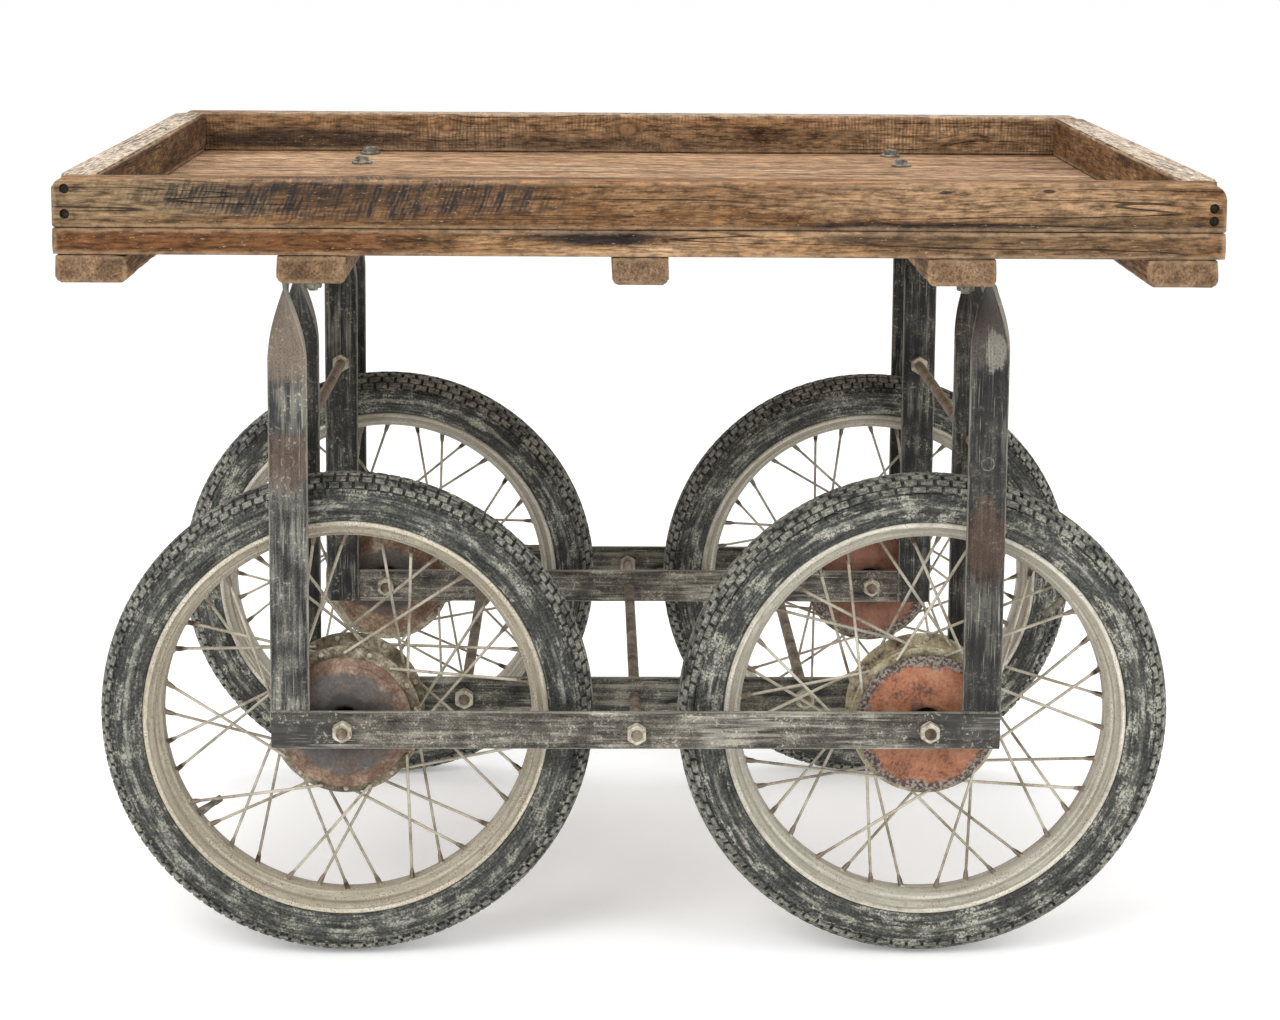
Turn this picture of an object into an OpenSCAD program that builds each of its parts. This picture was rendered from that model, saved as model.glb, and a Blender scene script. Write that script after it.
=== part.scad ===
/* [Tray] */
// Length of the tray along X
tray_len = 1160; // [1150:1:1240]
// Width of the tray along Y
tray_w = 775; // [760:1:900]
// Thickness of the floor planks
floor_t = 27; // [20:1:40]
// Height of the rim boards above the floor
rim_h = 49; // [44:1:90]
// Thickness of the rim boards
rim_t = 37; // [25:1:45]
// Gap left between neighbouring floor planks
plank_gap = 1.5; // [0.5:0.1:4]
// Height of the crossbeams under the floor
beam_h = 28; // [20:1:40]
// Width of the four outer crossbeams
beam_w = 69; // [64:1:80]
// Width of the middle crossbeam
mid_beam_w = 57; // [50:1:80]
// Radius on the crossbeams' lower edges
beam_edge_r = 6; // [2:1:10]

/* [Frame] */
// Height of the crossbeams' underside above the ground
frame_top = 736; // [730:1:790]
// Width of the flat steel bar
bar_w = 40; // [36:1:44]
// Thickness of the flat steel bar
bar_t = 5; // [4:0.5:6]
// Length of the outer bottom bars
bar_len = 756; // [750:1:762]
// Distance in Y from the middle of the cart to an outer bar
outer_y = 325; // [322:1:335]
// Distance in Y from the middle of the cart to an inner bar
inner_y = 212; // [205:1:214]
// Height over which the top of a leg is twisted a quarter turn
twist_h = 82; // [60:1:100]
// Radius of the bend above the twist, at the middle of the bar
bend_r = 6; // [5:1:9]
// Length of the bolted tab under the crossbeam
tab_len = 42; // [36:1:50]

/* [Rods and fasteners] */
// Diameter of the axles and the cross rods
rod_d = 12; // [10:1:14]
// Height of the upper cross rods above the ground
upper_rod_z = 543; // [530:1:600]
// Height of the lower tie rods above the ground
tie_z = 258; // [255:1:262]
// Distance of the two inner tie rods from the middle, along X
inner_tie_x = 184; // [160:1:210]
// Distance of the floor bolts from the middle, along X
floor_bolt_x = 331; // [328:1:333]
// Diameter of the floor bolts
floor_bolt_d = 10; // [8:1:12]
// Diameter of the floor bolts' washers
washer_d = 25; // [22:1:30]

/* [Wheels] */
// Outer diameter of the tyre
tyre_d = 520; // [516:1:524]
// Width of the tyre at its widest
tyre_w = 59; // [54:1:62]
// Distance of the axles from the middle, along X
axle_x = 304; // [300:1:308]
// Diameter of the rim over its rolled edges
rim_d = 425; // [422:0.5:430]
// Diameter of the rim where the spokes enter it
rim_well_d = 388; // [384:0.5:392]
// Number of spokes in a wheel
spokes = 36; // [36:4:36]
// Diameter of a spoke
spoke_d = 3.2; // [2.6:0.1:3.4]
// Angle between a spoke's hub hole and its place on the rim
lace_angle = 40; // [40:1:40]
// Radius of a hub flange
flange_r = 79; // [78:0.5:80]
// Distance of a hub flange from the middle plane of the wheel
flange_z = 24; // [22:1:26]
// Outer radius of the brake drum
drum_r = 68; // [66:1:69]

/* [Hidden] */
$fn = 64;
fit = 0.1;                      // radial gap between a fixed rod and its hole
run = 0.05;                     // radial gap between an axle and its bearing
axle_z = tyre_d / 2;
floor_z = frame_top + beam_h;
deck_z = floor_z + floor_t;
leg_x = bar_len / 2 - bar_w / 2;
wheel_y = (outer_y + inner_y) / 2;
bar_face = (outer_y - inner_y) / 2 - bar_t / 2;   // from the wheel's middle plane to a bar

// Floor planks from the near side to the far side
plank_widths = [194, 190, 176, tray_w - 560];
// Middle of each crossbeam along X, and its width
beams = [[-542, beam_w + 2], [-326, beam_w], [-1, mid_beam_w], [318, beam_w], [538, beam_w + 2]];
// Screw heights below the rim's top at the front board's left and right ends
screw_depths = [[10.5, 35.5], [24.5, 37.2]];
screw_inset = 13;
screw_head_r = 4.6;
screw_shank_r = 2.5;
screw_sink = 5;
screw_len = 70;

nut_af = 19;
nut_h = 9;
floor_nut_af = 17;
floor_nut_h = 8;
bolt_head_h = 6.5;
washer_t = 2.5;

// Wheel name, side along X, side along Y, and how far it is turned
near_left = [-1, -1, 210];
near_right = [1, -1, 35];
far_left = [-1, 1, 130];
far_right = [1, 1, 300];

places = ["near_left", "near_right", "far_left", "far_right"];
rows = ["near_outer", "near_inner", "far_inner", "far_outer"];
wheel_parts = ["tyre", "inner_tube", "rim", "spokes", "hub", "drum_cover", "bearings"];

wood = "#8a6038";
pale_wood = "#a5825a";
dark_steel = "#3b3a38";
rusty_steel = "#7a6250";
cream_paint = "#c9c2ac";
red_oxide = "#9a5334";

function sum_to(v, n) = n == 0 ? 0 : v[n - 1] + sum_to(v, n - 1);
function hex_r(across_flats) = across_flats / sqrt(3);
function arc(c, r, from, to, steps) =
    [for (i = [0:steps]) let (t = from + (to - from) * i / steps) c + r * [cos(t), sin(t)]];

// ---- Tray ------------------------------------------------------------------------------------

// A rectangle whose two upper corners are rounded, from x = 0 and z = 0
module end_rounded(len, h, r_left, r_right) {
    difference() {
        square([len, h]);
        translate([r_left, h - r_left]) rotate(90) corner_waste(r_left);
        translate([len - r_right, h - r_right]) corner_waste(r_right);
    }
}

module corner_waste(r) {
    difference() {
        square(r + 1);
        circle(r);
    }
}

// Clearance for one rim screw: its sunk head and its shank, entering along +Y from y = 0
module screw_hole() {
    rotate([-90, 0, 0]) {
        translate([0, 0, -1]) cylinder(r = screw_head_r + 0.4, h = screw_sink + 5);
        cylinder(r = screw_shank_r + fit, h = screw_len + 1);
    }
}

module rim_screw() {
    rotate([-90, 0, 0]) translate([0, 0, screw_sink]) {
        cylinder(r = screw_head_r, h = 4);
        translate([0, 0, 4]) cylinder(r = screw_shank_r, h = screw_len - screw_sink - 4);
    }
}

// Puts a child at each screw of the front board, and turned round at each of the back board
module at_rim_screws() {
    for (turn = [0, 180]) rotate(turn)
        for (end = [0, 1], depth = screw_depths[end])
            translate([(2 * end - 1) * (tray_len / 2 - screw_inset), -tray_w / 2, deck_z + rim_h - depth])
                children();
}

module rim_board_long(turn) {
    color(wood) difference() {
        rotate(turn) translate([-tray_len / 2, rim_t - tray_w / 2, deck_z]) rotate([90, 0, 0])
            linear_extrude(rim_t) end_rounded(tray_len, rim_h, 9, 16);
        at_rim_screws() screw_hole();
    }
}

module rim_board_end(side) {
    color(wood) difference() {
        translate([side > 0 ? tray_len / 2 - rim_t : -tray_len / 2, rim_t - tray_w / 2, deck_z])
            cube([rim_t, tray_w - 2 * rim_t, rim_h]);
        at_rim_screws() screw_hole();
    }
}

module rim_screws() {
    color(dark_steel) at_rim_screws() rim_screw();
}

// Puts a child at each floor bolt's place, at z = 0
module at_floor_bolts() {
    for (sx = [-1, 1], y = [-outer_y, -inner_y, inner_y, outer_y])
        translate([sx * floor_bolt_x, y, 0]) children();
}

module floor_bolt_holes() {
    at_floor_bolts() translate([0, 0, frame_top - 1])
        cylinder(d = floor_bolt_d + 2 * fit, h = deck_z - frame_top + 2);
}

module floor_plank(i) {
    y0 = -tray_w / 2 + sum_to(plank_widths, i - 1) + (i > 1 ? plank_gap / 2 : 0);
    y1 = -tray_w / 2 + sum_to(plank_widths, i) - (i < 4 ? plank_gap / 2 : 0);
    color(pale_wood) difference() {
        translate([-tray_len / 2, y0, floor_z]) cube([tray_len, y1 - y0, floor_t]);
        floor_bolt_holes();
    }
}

module crossbeam(i) {
    w = beams[i - 1][1];
    r = beam_edge_r;
    color(wood) difference() {
        translate([beams[i - 1][0], tray_w / 2, floor_z]) rotate([90, 180, 0])
            linear_extrude(tray_w) translate([-w / 2, 0]) end_rounded(w, beam_h, r, r);
        floor_bolt_holes();
    }
}

// A bolt down through the floor, a crossbeam and a leg's tab, with its washer and nut
module floor_bolt() {
    tip = frame_top - bar_t - floor_nut_h - 3;
    head = deck_z + washer_t;
    translate([0, 0, tip]) cylinder(d = floor_bolt_d, h = head - tip);
    translate([0, 0, head]) cylinder(r = hex_r(floor_nut_af), h = bolt_head_h, $fn = 6);
}

module ring_at(z, outer_r, h, sides) {
    translate([0, 0, z]) difference() {
        cylinder(r = outer_r, h = h, $fn = sides);
        translate([0, 0, -1]) cylinder(d = floor_bolt_d + fit, h = h + 2);
    }
}

module floor_bolts() {
    color(dark_steel) at_floor_bolts() {
        floor_bolt();
        ring_at(deck_z, washer_d / 2, washer_t, 64);
        ring_at(frame_top - bar_t - floor_nut_h, hex_r(floor_nut_af), floor_nut_h, 6);
    }
}

// ---- Steel frame -----------------------------------------------------------------------------

// A clearance hole along Y for a rod, through all the bars at one place
module rod_hole(x, z) {
    translate([x, tray_w / 2, z]) rotate([90, 0, 0]) cylinder(d = rod_d + 2 * fit, h = tray_w);
}

module bottom_bar(y, half_len) {
    color(rusty_steel) difference() {
        translate([-half_len, y - bar_t / 2, axle_z - bar_w / 2]) cube([2 * half_len, bar_t, bar_w]);
        for (sx = [-1, 1]) rod_hole(sx * axle_x, axle_z);
        rod_hole(0, tie_z);
        if (abs(y) == inner_y) for (sx = [-1, 1]) rod_hole(sx * inner_tie_x, tie_z);
    }
}

module outer_bar(side) { bottom_bar(side * outer_y, bar_len / 2); }

module inner_bar(side) { bottom_bar(side * inner_y, leg_x - bar_w / 2); }

// Corners of the bar's section, as signs along its width and its thickness
corners = [[-1, -1], [1, -1], [1, 1], [-1, 1]];

// The section turned by angle a at height z, a quarter turn over the twist
function twist_ring(a, z) =
    [for (c = corners) let (u = c[0] * bar_w / 2, v = c[1] * bar_t / 2)
        [u * cos(a) + v * sin(a), -u * sin(a) + v * cos(a), z]];

// The section in the bend that follows, b degrees round towards the side s
function bend_ring(b, z, s) =
    [for (c = corners) let (u = c[0] * bar_w / 2, v = c[1] * bar_t / 2)
        [s * bend_r * (1 - cos(b)) + v * cos(b), -u, z + bend_r * sin(b) - s * v * sin(b)]];

// The twisted and bent stretch at a leg's top, as rings of four points
module twisted_top(z0, z1, s) {
    turns = 14;
    bends = 6;
    rings = concat(
        [for (i = [0:turns]) twist_ring(90 * i / turns, z0 + (z1 - z0) * i / turns)],
        [for (i = [1:bends]) bend_ring(90 * i / bends, z1, s)]
    );
    n = len(rings);
    polyhedron(
        points = [for (ring = rings, p = ring) p],
        faces = concat(
            [[0, 1, 2, 3]],
            [for (i = [0:n - 2], k = [0:3])
                let (a = 4 * i + k, b = 4 * i + (k + 1) % 4) each [[a, b + 4, b], [a, a + 4, b + 4]]],
            [[for (k = [3:-1:0]) 4 * (n - 1) + k]]
        )
    );
}

// A leg stands on the outer bar or runs down beside the inner one; its tab points to the middle
module leg(x_side, y_side, outer) {
    y = y_side * (outer ? outer_y : inner_y);
    z0 = axle_z + (outer ? 1 : -1) * bar_w / 2;
    z2 = frame_top - bar_t / 2 - bend_r;
    z1 = z2 - twist_h;
    s = -x_side;
    color(dark_steel) translate([x_side * leg_x, y, 0]) {
        difference() {
            translate([-bar_w / 2, -bar_t / 2, z0]) cube([bar_w, bar_t, z1 - z0]);
            translate([0, bar_t, upper_rod_z]) rotate([90, 0, 0]) cylinder(d = rod_d + 2 * fit, h = 2 * bar_t);
        }
        twisted_top(z1, z2, s);
        difference() {
            translate([s > 0 ? bend_r : -bend_r - tab_len, -bar_w / 2, frame_top - bar_t])
                cube([tab_len, bar_w, bar_t]);
            translate([s * (leg_x - floor_bolt_x), 0, frame_top - 2 * bar_t])
                cylinder(d = floor_bolt_d + 2 * fit, h = 3 * bar_t);
        }
    }
}

module rod(x, z, half_len) {
    translate([x, half_len, z]) rotate([90, 0, 0]) cylinder(d = rod_d, h = 2 * half_len);
}

module upper_rods() {
    color(rusty_steel) for (sx = [-1, 1]) rod(sx * leg_x, upper_rod_z, outer_y + bar_t / 2 + 1);
}

module lower_tie_rods() {
    color(rusty_steel) {
        rod(0, tie_z, outer_y + bar_t / 2 + nut_h + 4);
        for (sx = [-1, 1]) rod(sx * inner_tie_x, tie_z, inner_y + bar_t / 2 + nut_h + 3);
    }
}

// A hexagon nut on a rod along Y, with its near face against y = 0 and its body on the side s
module nut(s) {
    rotate([-90 * s, 0, 0]) difference() {
        cylinder(r = hex_r(nut_af), h = nut_h, $fn = 6);
        translate([0, 0, -1]) cylinder(d = rod_d + fit, h = nut_h + 2);
    }
}

module frame_nuts() {
    outer_face = outer_y + bar_t / 2;
    inner_face = inner_y - bar_t / 2;
    color(dark_steel) for (s = [-1, 1]) {
        for (sx = [-1, 1]) {
            translate([sx * axle_x, s * outer_face, axle_z]) nut(s);
            translate([sx * axle_x, s * inner_face, axle_z]) nut(-s);
            translate([sx * inner_tie_x, s * (inner_face + bar_t), tie_z]) nut(s);
            translate([sx * leg_x, s * inner_face, upper_rod_z]) nut(-s);
        }
        translate([0, s * outer_face, tie_z]) nut(s);
        translate([0, s * (outer_face - bar_t), tie_z]) nut(-s);
    }
}

// ---- Wheels, modelled about Z with the drum side up and laid over by at_wheel ------------------

module at_wheel(place) {
    translate([place[0] * axle_x, place[1] * wheel_y, axle_z]) rotate([90, 0, 0]) rotate(place[2])
        children();
}

// The same place without the wheel's turn, for what stays with the frame
module at_axle(place) {
    at_wheel([place[0], place[1], 0]) children();
}

seat_r = 204;                   // where the tyre's beads sit on the rim
seat_half = 20;
section_r = tyre_w / 2;
section_c = tyre_d / 2 - section_r;
rim_r = rim_d / 2;
well_r = rim_well_d / 2;
rim_skin = 2.4;
lip_r = 2.8;
tube_c = section_c + 1.5;       // the tube lies clear of the beads
tube_r = 19.2;
valve_angle = 5;
valve_r = 4;
valve_tip = 165;

module tyre() {
    outer = arc([section_c, 0], section_r, 112, -112, 40);
    inner = arc([section_c - 1, 0], section_r - 7, -115, 115, 32);
    bead = seat_half - fit - 0.1;
    wall_top = rim_r + 0.7;
    color("#2f3130") rotate_extrude($fn = 120) polygon(concat(
        [[seat_r, bead], [wall_top, bead], [wall_top, 24.5]],
        [for (p = outer) if (p[0] > wall_top + 1) p],
        [[wall_top, -24.5], [wall_top, -bead], [seat_r, -bead], [seat_r, -bead + 6], [wall_top, -bead + 6]],
        [for (p = inner) if (p[0] > wall_top + 1) p],
        [[wall_top, bead - 6], [seat_r, bead - 6]]
    ));
}

module inner_tube() {
    color("#222222") {
        rotate_extrude($fn = 120) translate([tube_c, 0]) difference() {
            circle(tube_r);
            circle(tube_r - 2);
        }
        rotate([0, 90, valve_angle]) translate([0, 0, valve_tip])
            cylinder(r = valve_r, h = tube_c - tube_r + 1 - valve_tip);
    }
}

module rim_section() {
    half = [[well_r + rim_skin, 9], [seat_r, 13.5], [seat_r, seat_half], [rim_r - lip_r, seat_half],
            [rim_r - lip_r, seat_half + rim_skin], [seat_r - rim_skin, seat_half + rim_skin],
            [seat_r - rim_skin, 15.5], [well_r, 10.8]];
    polygon(concat(half, [for (i = [len(half) - 1:-1:0]) [half[i][0], -half[i][1]]]));
    for (s = [-1, 1]) translate([rim_r - lip_r, s * (seat_half + lip_r + 0.4)]) circle(lip_r, $fn = 32);
}

module rim() {
    color(cream_paint) difference() {
        rotate_extrude($fn = 120) rim_section();
        for (k = [0:spokes - 1]) along_spoke(k) cylinder(r = nipple_r + 0.15, h = 60, $fn = 24);
        rotate([0, 90, valve_angle]) cylinder(r = valve_r + 0.3, h = seat_r);
    }
}

nipple_r = 3;
nipple_len = 13;
hole_ring_r = flange_r - 5;
flange_t = 4;

// Spoke k: even ones belong to the drum-side flange, and every second one of a flange leans back
function flange_of(k) = k % 2 == 0 ? 1 : -1;
function lean_of(k) = floor(k / 2) % 2 == 0 ? 1 : -1;
function rim_angle(k) = 360 * k / spokes;
function hub_angle(k) = rim_angle(k) + lace_angle * lean_of(k);
// An elbow outside the flange stands off it, so that its spoke clears the flange's edge
function standoff(k) = lean_of(k) > 0 ? 2.4 : 0.1;
function hub_z(k) = flange_of(k) * (flange_z + lean_of(k) * ((flange_t + spoke_d) / 2 + standoff(k)));
function polar(r, a, z) = [r * cos(a), r * sin(a), z];
function hub_end(k) = polar(hole_ring_r, hub_angle(k), hub_z(k));
function rim_end(k) = polar(well_r + rim_skin + 0.6, rim_angle(k), flange_of(k) * 2.5);

// Turns a child's Z axis from the point a towards the point b, with its origin at a
module aim(a, b) {
    d = b - a;
    translate(a) rotate([0, acos(d[2] / norm(d)), atan2(d[1], d[0])]) children();
}

// Origin inside the rim, pointing outwards along spoke k
module along_spoke(k) {
    aim(rim_end(k), hub_end(k)) translate([0, 0, nipple_len + 10]) mirror([0, 0, 1]) children();
}

module spoke(k) {
    lean = flange_of(k) * lean_of(k);
    shank = flange_t + spoke_d / 2 + standoff(k) + 0.1;
    aim(hub_end(k), rim_end(k))
        cylinder(d = spoke_d, h = norm(rim_end(k) - hub_end(k)) - nipple_len / 2, $fn = 24);
    aim(rim_end(k), hub_end(k)) cylinder(r = nipple_r, h = nipple_len, $fn = 24);
    translate(hub_end(k)) {
        sphere(d = spoke_d + 0.5, $fn = 24);
        mirror([0, 0, lean > 0 ? 1 : 0]) {
            cylinder(d = spoke_d, h = shank + 1, $fn = 24);
            translate([0, 0, shank]) cylinder(r = spoke_d, h = 1.8, $fn = 24);
        }
    }
}

module spokes() {
    color("#a59d86") for (k = [0:spokes - 1]) spoke(k);
}

bearing_r = 16;
bearing_w = 10;
boss_r = 22;
boss_low = -40;                 // the plain side's bearing ends here
boss_high = 14;                 // and the drum side's bearing here
drum_skin = 6;
drum_mouth = 32;

module hub() {
    color(rusty_steel) difference() {
        rotate_extrude() {
            translate([drum_r - drum_skin, -flange_z - 2]) square([drum_skin, drum_mouth + flange_z + 2]);
            for (s = [-1, 1]) translate([drum_r - 1, s * flange_z - flange_t / 2])
                square([flange_r - drum_r + 1, flange_t]);
            translate([boss_r - 1, -flange_z - 2]) square([drum_r - boss_r - drum_skin + 2, 6]);
            difference() {
                translate([bearing_r - 2, boss_low]) square([boss_r - bearing_r + 2, boss_high - boss_low]);
                translate([bearing_r - 3, boss_low - 1]) square([3, bearing_w + 1]);
                translate([bearing_r - 3, boss_high - bearing_w]) square([3, bearing_w + 1]);
            }
        }
        for (k = [0:spokes - 1]) translate([0, 0, flange_of(k) * flange_z])
            rotate(hub_angle(k)) translate([hole_ring_r, 0, -flange_t])
                cylinder(d = spoke_d + 0.3, h = 2 * flange_t, $fn = 24);
    }
}

// A stepped plate over the drum's open side, with a spigot inside the drum and a wide axle hole
module drum_cover() {
    hole_r = 18;
    dome_r = 54;
    plate_t = 4;
    color(red_oxide) rotate_extrude() {
        translate([hole_r, drum_mouth]) square([drum_r + 1.5 - hole_r, plate_t]);
        translate([hole_r, drum_mouth + plate_t]) square([dome_r - hole_r, plate_t]);
        translate([drum_r - drum_skin - 5, drum_mouth - 6]) square([5 - fit, 6]);
    }
}

module bearing() {
    inner_r = rod_d / 2 + run;
    rotate_extrude() {
        translate([inner_r, 0]) square([3, bearing_w]);
        translate([bearing_r - 3, 0]) square([3 - fit / 2, bearing_w]);
        translate([inner_r + 2, 1]) square([bearing_r - inner_r - 4, bearing_w - 2]);
    }
}

module bearings() {
    color("silver") {
        translate([0, 0, boss_low]) bearing();
        translate([0, 0, boss_high - bearing_w]) bearing();
    }
}

module axles() {
    reach = nut_h + bar_t + 5;
    color(rusty_steel) for (place = [near_left, near_right, far_left, far_right])
        at_axle(place) translate([0, 0, -bar_face - reach]) cylinder(d = rod_d, h = 2 * (bar_face + reach));
}

module spacer(z0, z1) {
    translate([0, 0, z0]) difference() {
        cylinder(r = 8.5, h = z1 - z0);
        translate([0, 0, -1]) cylinder(d = rod_d + 2 * fit, h = z1 - z0 + 2);
    }
}

module axle_spacers() {
    side_gap = 0.3;             // end float between a spacer and a turning bearing
    color(dark_steel) for (place = [near_left, near_right, far_left, far_right]) at_axle(place) {
        spacer(boss_high + side_gap, bar_face);
        spacer(-bar_face, boss_low - side_gap);
    }
}

rim_board_long(0);  // rim_board_front
rim_board_long(180);  // rim_board_back
rim_board_end(-1);  // rim_board_left
rim_board_end(1);  // rim_board_right
floor_plank(1);  // floor_plank_1
floor_plank(2);  // floor_plank_2
floor_plank(3);  // floor_plank_3
floor_plank(4);  // floor_plank_4
crossbeam(1);  // crossbeam_1
crossbeam(2);  // crossbeam_2
crossbeam(3);  // crossbeam_3
crossbeam(4);  // crossbeam_4
crossbeam(5);  // crossbeam_5
leg(-1, -1, true);  // leg_near_outer_left
leg(1, -1, true);  // leg_near_outer_right
leg(-1, -1, false);  // leg_near_inner_left
leg(1, -1, false);  // leg_near_inner_right
leg(-1, 1, false);  // leg_far_inner_left
leg(1, 1, false);  // leg_far_inner_right
leg(-1, 1, true);  // leg_far_outer_left
leg(1, 1, true);  // leg_far_outer_right
outer_bar(-1);  // bar_near_outer
inner_bar(-1);  // bar_near_inner
inner_bar(1);  // bar_far_inner
outer_bar(1);  // bar_far_outer
upper_rods();
lower_tie_rods();
axles();
axle_spacers();
frame_nuts();
floor_bolts();
rim_screws();
at_wheel(near_left) tyre();  // tyre_near_left
at_wheel(near_right) tyre();  // tyre_near_right
at_wheel(far_left) tyre();  // tyre_far_left
at_wheel(far_right) tyre();  // tyre_far_right
at_wheel(near_left) inner_tube();  // inner_tube_near_left
at_wheel(near_right) inner_tube();  // inner_tube_near_right
at_wheel(far_left) inner_tube();  // inner_tube_far_left
at_wheel(far_right) inner_tube();  // inner_tube_far_right
at_wheel(near_left) rim();  // rim_near_left
at_wheel(near_right) rim();  // rim_near_right
at_wheel(far_left) rim();  // rim_far_left
at_wheel(far_right) rim();  // rim_far_right
at_wheel(near_left) spokes();  // spokes_near_left
at_wheel(near_right) spokes();  // spokes_near_right
at_wheel(far_left) spokes();  // spokes_far_left
at_wheel(far_right) spokes();  // spokes_far_right
at_wheel(near_left) hub();  // hub_near_left
at_wheel(near_right) hub();  // hub_near_right
at_wheel(far_left) hub();  // hub_far_left
at_wheel(far_right) hub();  // hub_far_right
at_wheel(near_left) drum_cover();  // drum_cover_near_left
at_wheel(near_right) drum_cover();  // drum_cover_near_right
at_wheel(far_left) drum_cover();  // drum_cover_far_left
at_wheel(far_right) drum_cover();  // drum_cover_far_right
at_wheel(near_left) bearings();  // bearings_near_left
at_wheel(near_right) bearings();  // bearings_near_right
at_wheel(far_left) bearings();  // bearings_far_left
at_wheel(far_right) bearings();  // bearings_far_right
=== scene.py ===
"""A street vendor's hand cart: a shallow reclaimed-wood tray on twisted flat-bar legs and four spoked wheels."""

import logging
import math
from dataclasses import dataclass, field
from enum import Enum
from typing import Callable, Optional, Sequence, Union

import bmesh
import bpy
from bmesh.types import BMEdge, BMVert
from mathutils import Matrix, Vector, noise


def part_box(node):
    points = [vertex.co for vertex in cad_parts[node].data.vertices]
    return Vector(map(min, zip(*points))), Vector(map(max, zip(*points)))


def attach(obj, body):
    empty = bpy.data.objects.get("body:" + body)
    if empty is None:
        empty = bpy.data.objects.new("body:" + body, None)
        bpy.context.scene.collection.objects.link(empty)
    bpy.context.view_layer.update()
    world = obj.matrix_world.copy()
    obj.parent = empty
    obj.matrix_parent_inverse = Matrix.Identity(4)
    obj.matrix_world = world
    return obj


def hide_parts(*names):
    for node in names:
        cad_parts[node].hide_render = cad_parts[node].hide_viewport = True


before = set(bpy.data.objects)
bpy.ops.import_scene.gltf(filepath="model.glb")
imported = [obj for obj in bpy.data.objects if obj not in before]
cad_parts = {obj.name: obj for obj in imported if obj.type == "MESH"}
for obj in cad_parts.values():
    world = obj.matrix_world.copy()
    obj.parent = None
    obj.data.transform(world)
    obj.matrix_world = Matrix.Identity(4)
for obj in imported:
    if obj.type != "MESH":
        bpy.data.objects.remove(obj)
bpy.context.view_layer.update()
LOG = logging.getLogger("hand_cart")

Colour = tuple[float, float, float]
Point = tuple[float, float, float]
Outline = Sequence[tuple[float, float]]


class Axis(Enum):
    """An axis of the cart's own frame."""

    X = 0
    Y = 1
    Z = 2


class TreadStyle(Enum):
    """How a tyre's tread is cut."""

    BLOCK = "block"
    RIB = "rib"


class CoverStyle(Enum):
    """How a brake drum's cover is pressed."""

    DOMED = "domed"
    FLAT = "flat"


# ---- Shader graph -----------------------------------------------------------------------------


class Value:
    """A number that varies over a surface, which Python's operators work on."""

    def __init__(self, graph: "Graph", socket: bpy.types.NodeSocket) -> None:
        """Wraps one output socket of a graph."""
        self.graph = graph
        self.socket = socket

    def __add__(self, other: "Number") -> "Value":
        """Adds a number."""
        return self.graph.maths("ADD", self, other)

    def __radd__(self, other: "Number") -> "Value":
        """Adds to a number."""
        return self.graph.maths("ADD", other, self)

    def __sub__(self, other: "Number") -> "Value":
        """Takes a number away."""
        return self.graph.maths("SUBTRACT", self, other)

    def __rsub__(self, other: "Number") -> "Value":
        """Takes this away from a number."""
        return self.graph.maths("SUBTRACT", other, self)

    def __mul__(self, other: "Number") -> "Value":
        """Multiplies by a number."""
        return self.graph.maths("MULTIPLY", self, other)

    def __rmul__(self, other: "Number") -> "Value":
        """Multiplies a number."""
        return self.graph.maths("MULTIPLY", other, self)

    def __truediv__(self, other: "Number") -> "Value":
        """Divides by a number."""
        return self.graph.maths("DIVIDE", self, other)

    def __abs__(self) -> "Value":
        """Drops the sign."""
        return self.graph.maths("ABSOLUTE", self)

    def lesser(self, other: "Number") -> "Value":
        """The smaller of this and another number."""
        return self.graph.maths("MINIMUM", self, other)

    def greater(self, other: "Number") -> "Value":
        """The larger of this and another number."""
        return self.graph.maths("MAXIMUM", self, other)

    def wave(self) -> "Value":
        """The sine of this."""
        return self.graph.maths("SINE", self)

    def rise(self, low: float, high: float) -> "Value":
        """Goes smoothly from 0 at low to 1 at high, and stays there."""
        made = self.graph.node(
            "ShaderNodeMapRange", {"interpolation_type": "SMOOTHSTEP"}, {0: self, 1: low, 2: high, 3: 0.0, 4: 1.0}
        )
        return Value(self.graph, made.outputs[0])

    def fall(self, low: float, high: float) -> "Value":
        """Goes smoothly from 1 at low to 0 at high, and stays there."""
        return 1.0 - self.rise(low, high)


Number = Union[Value, float]
Link = Union[Value, bpy.types.NodeSocket, float, Colour, Point]


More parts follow.
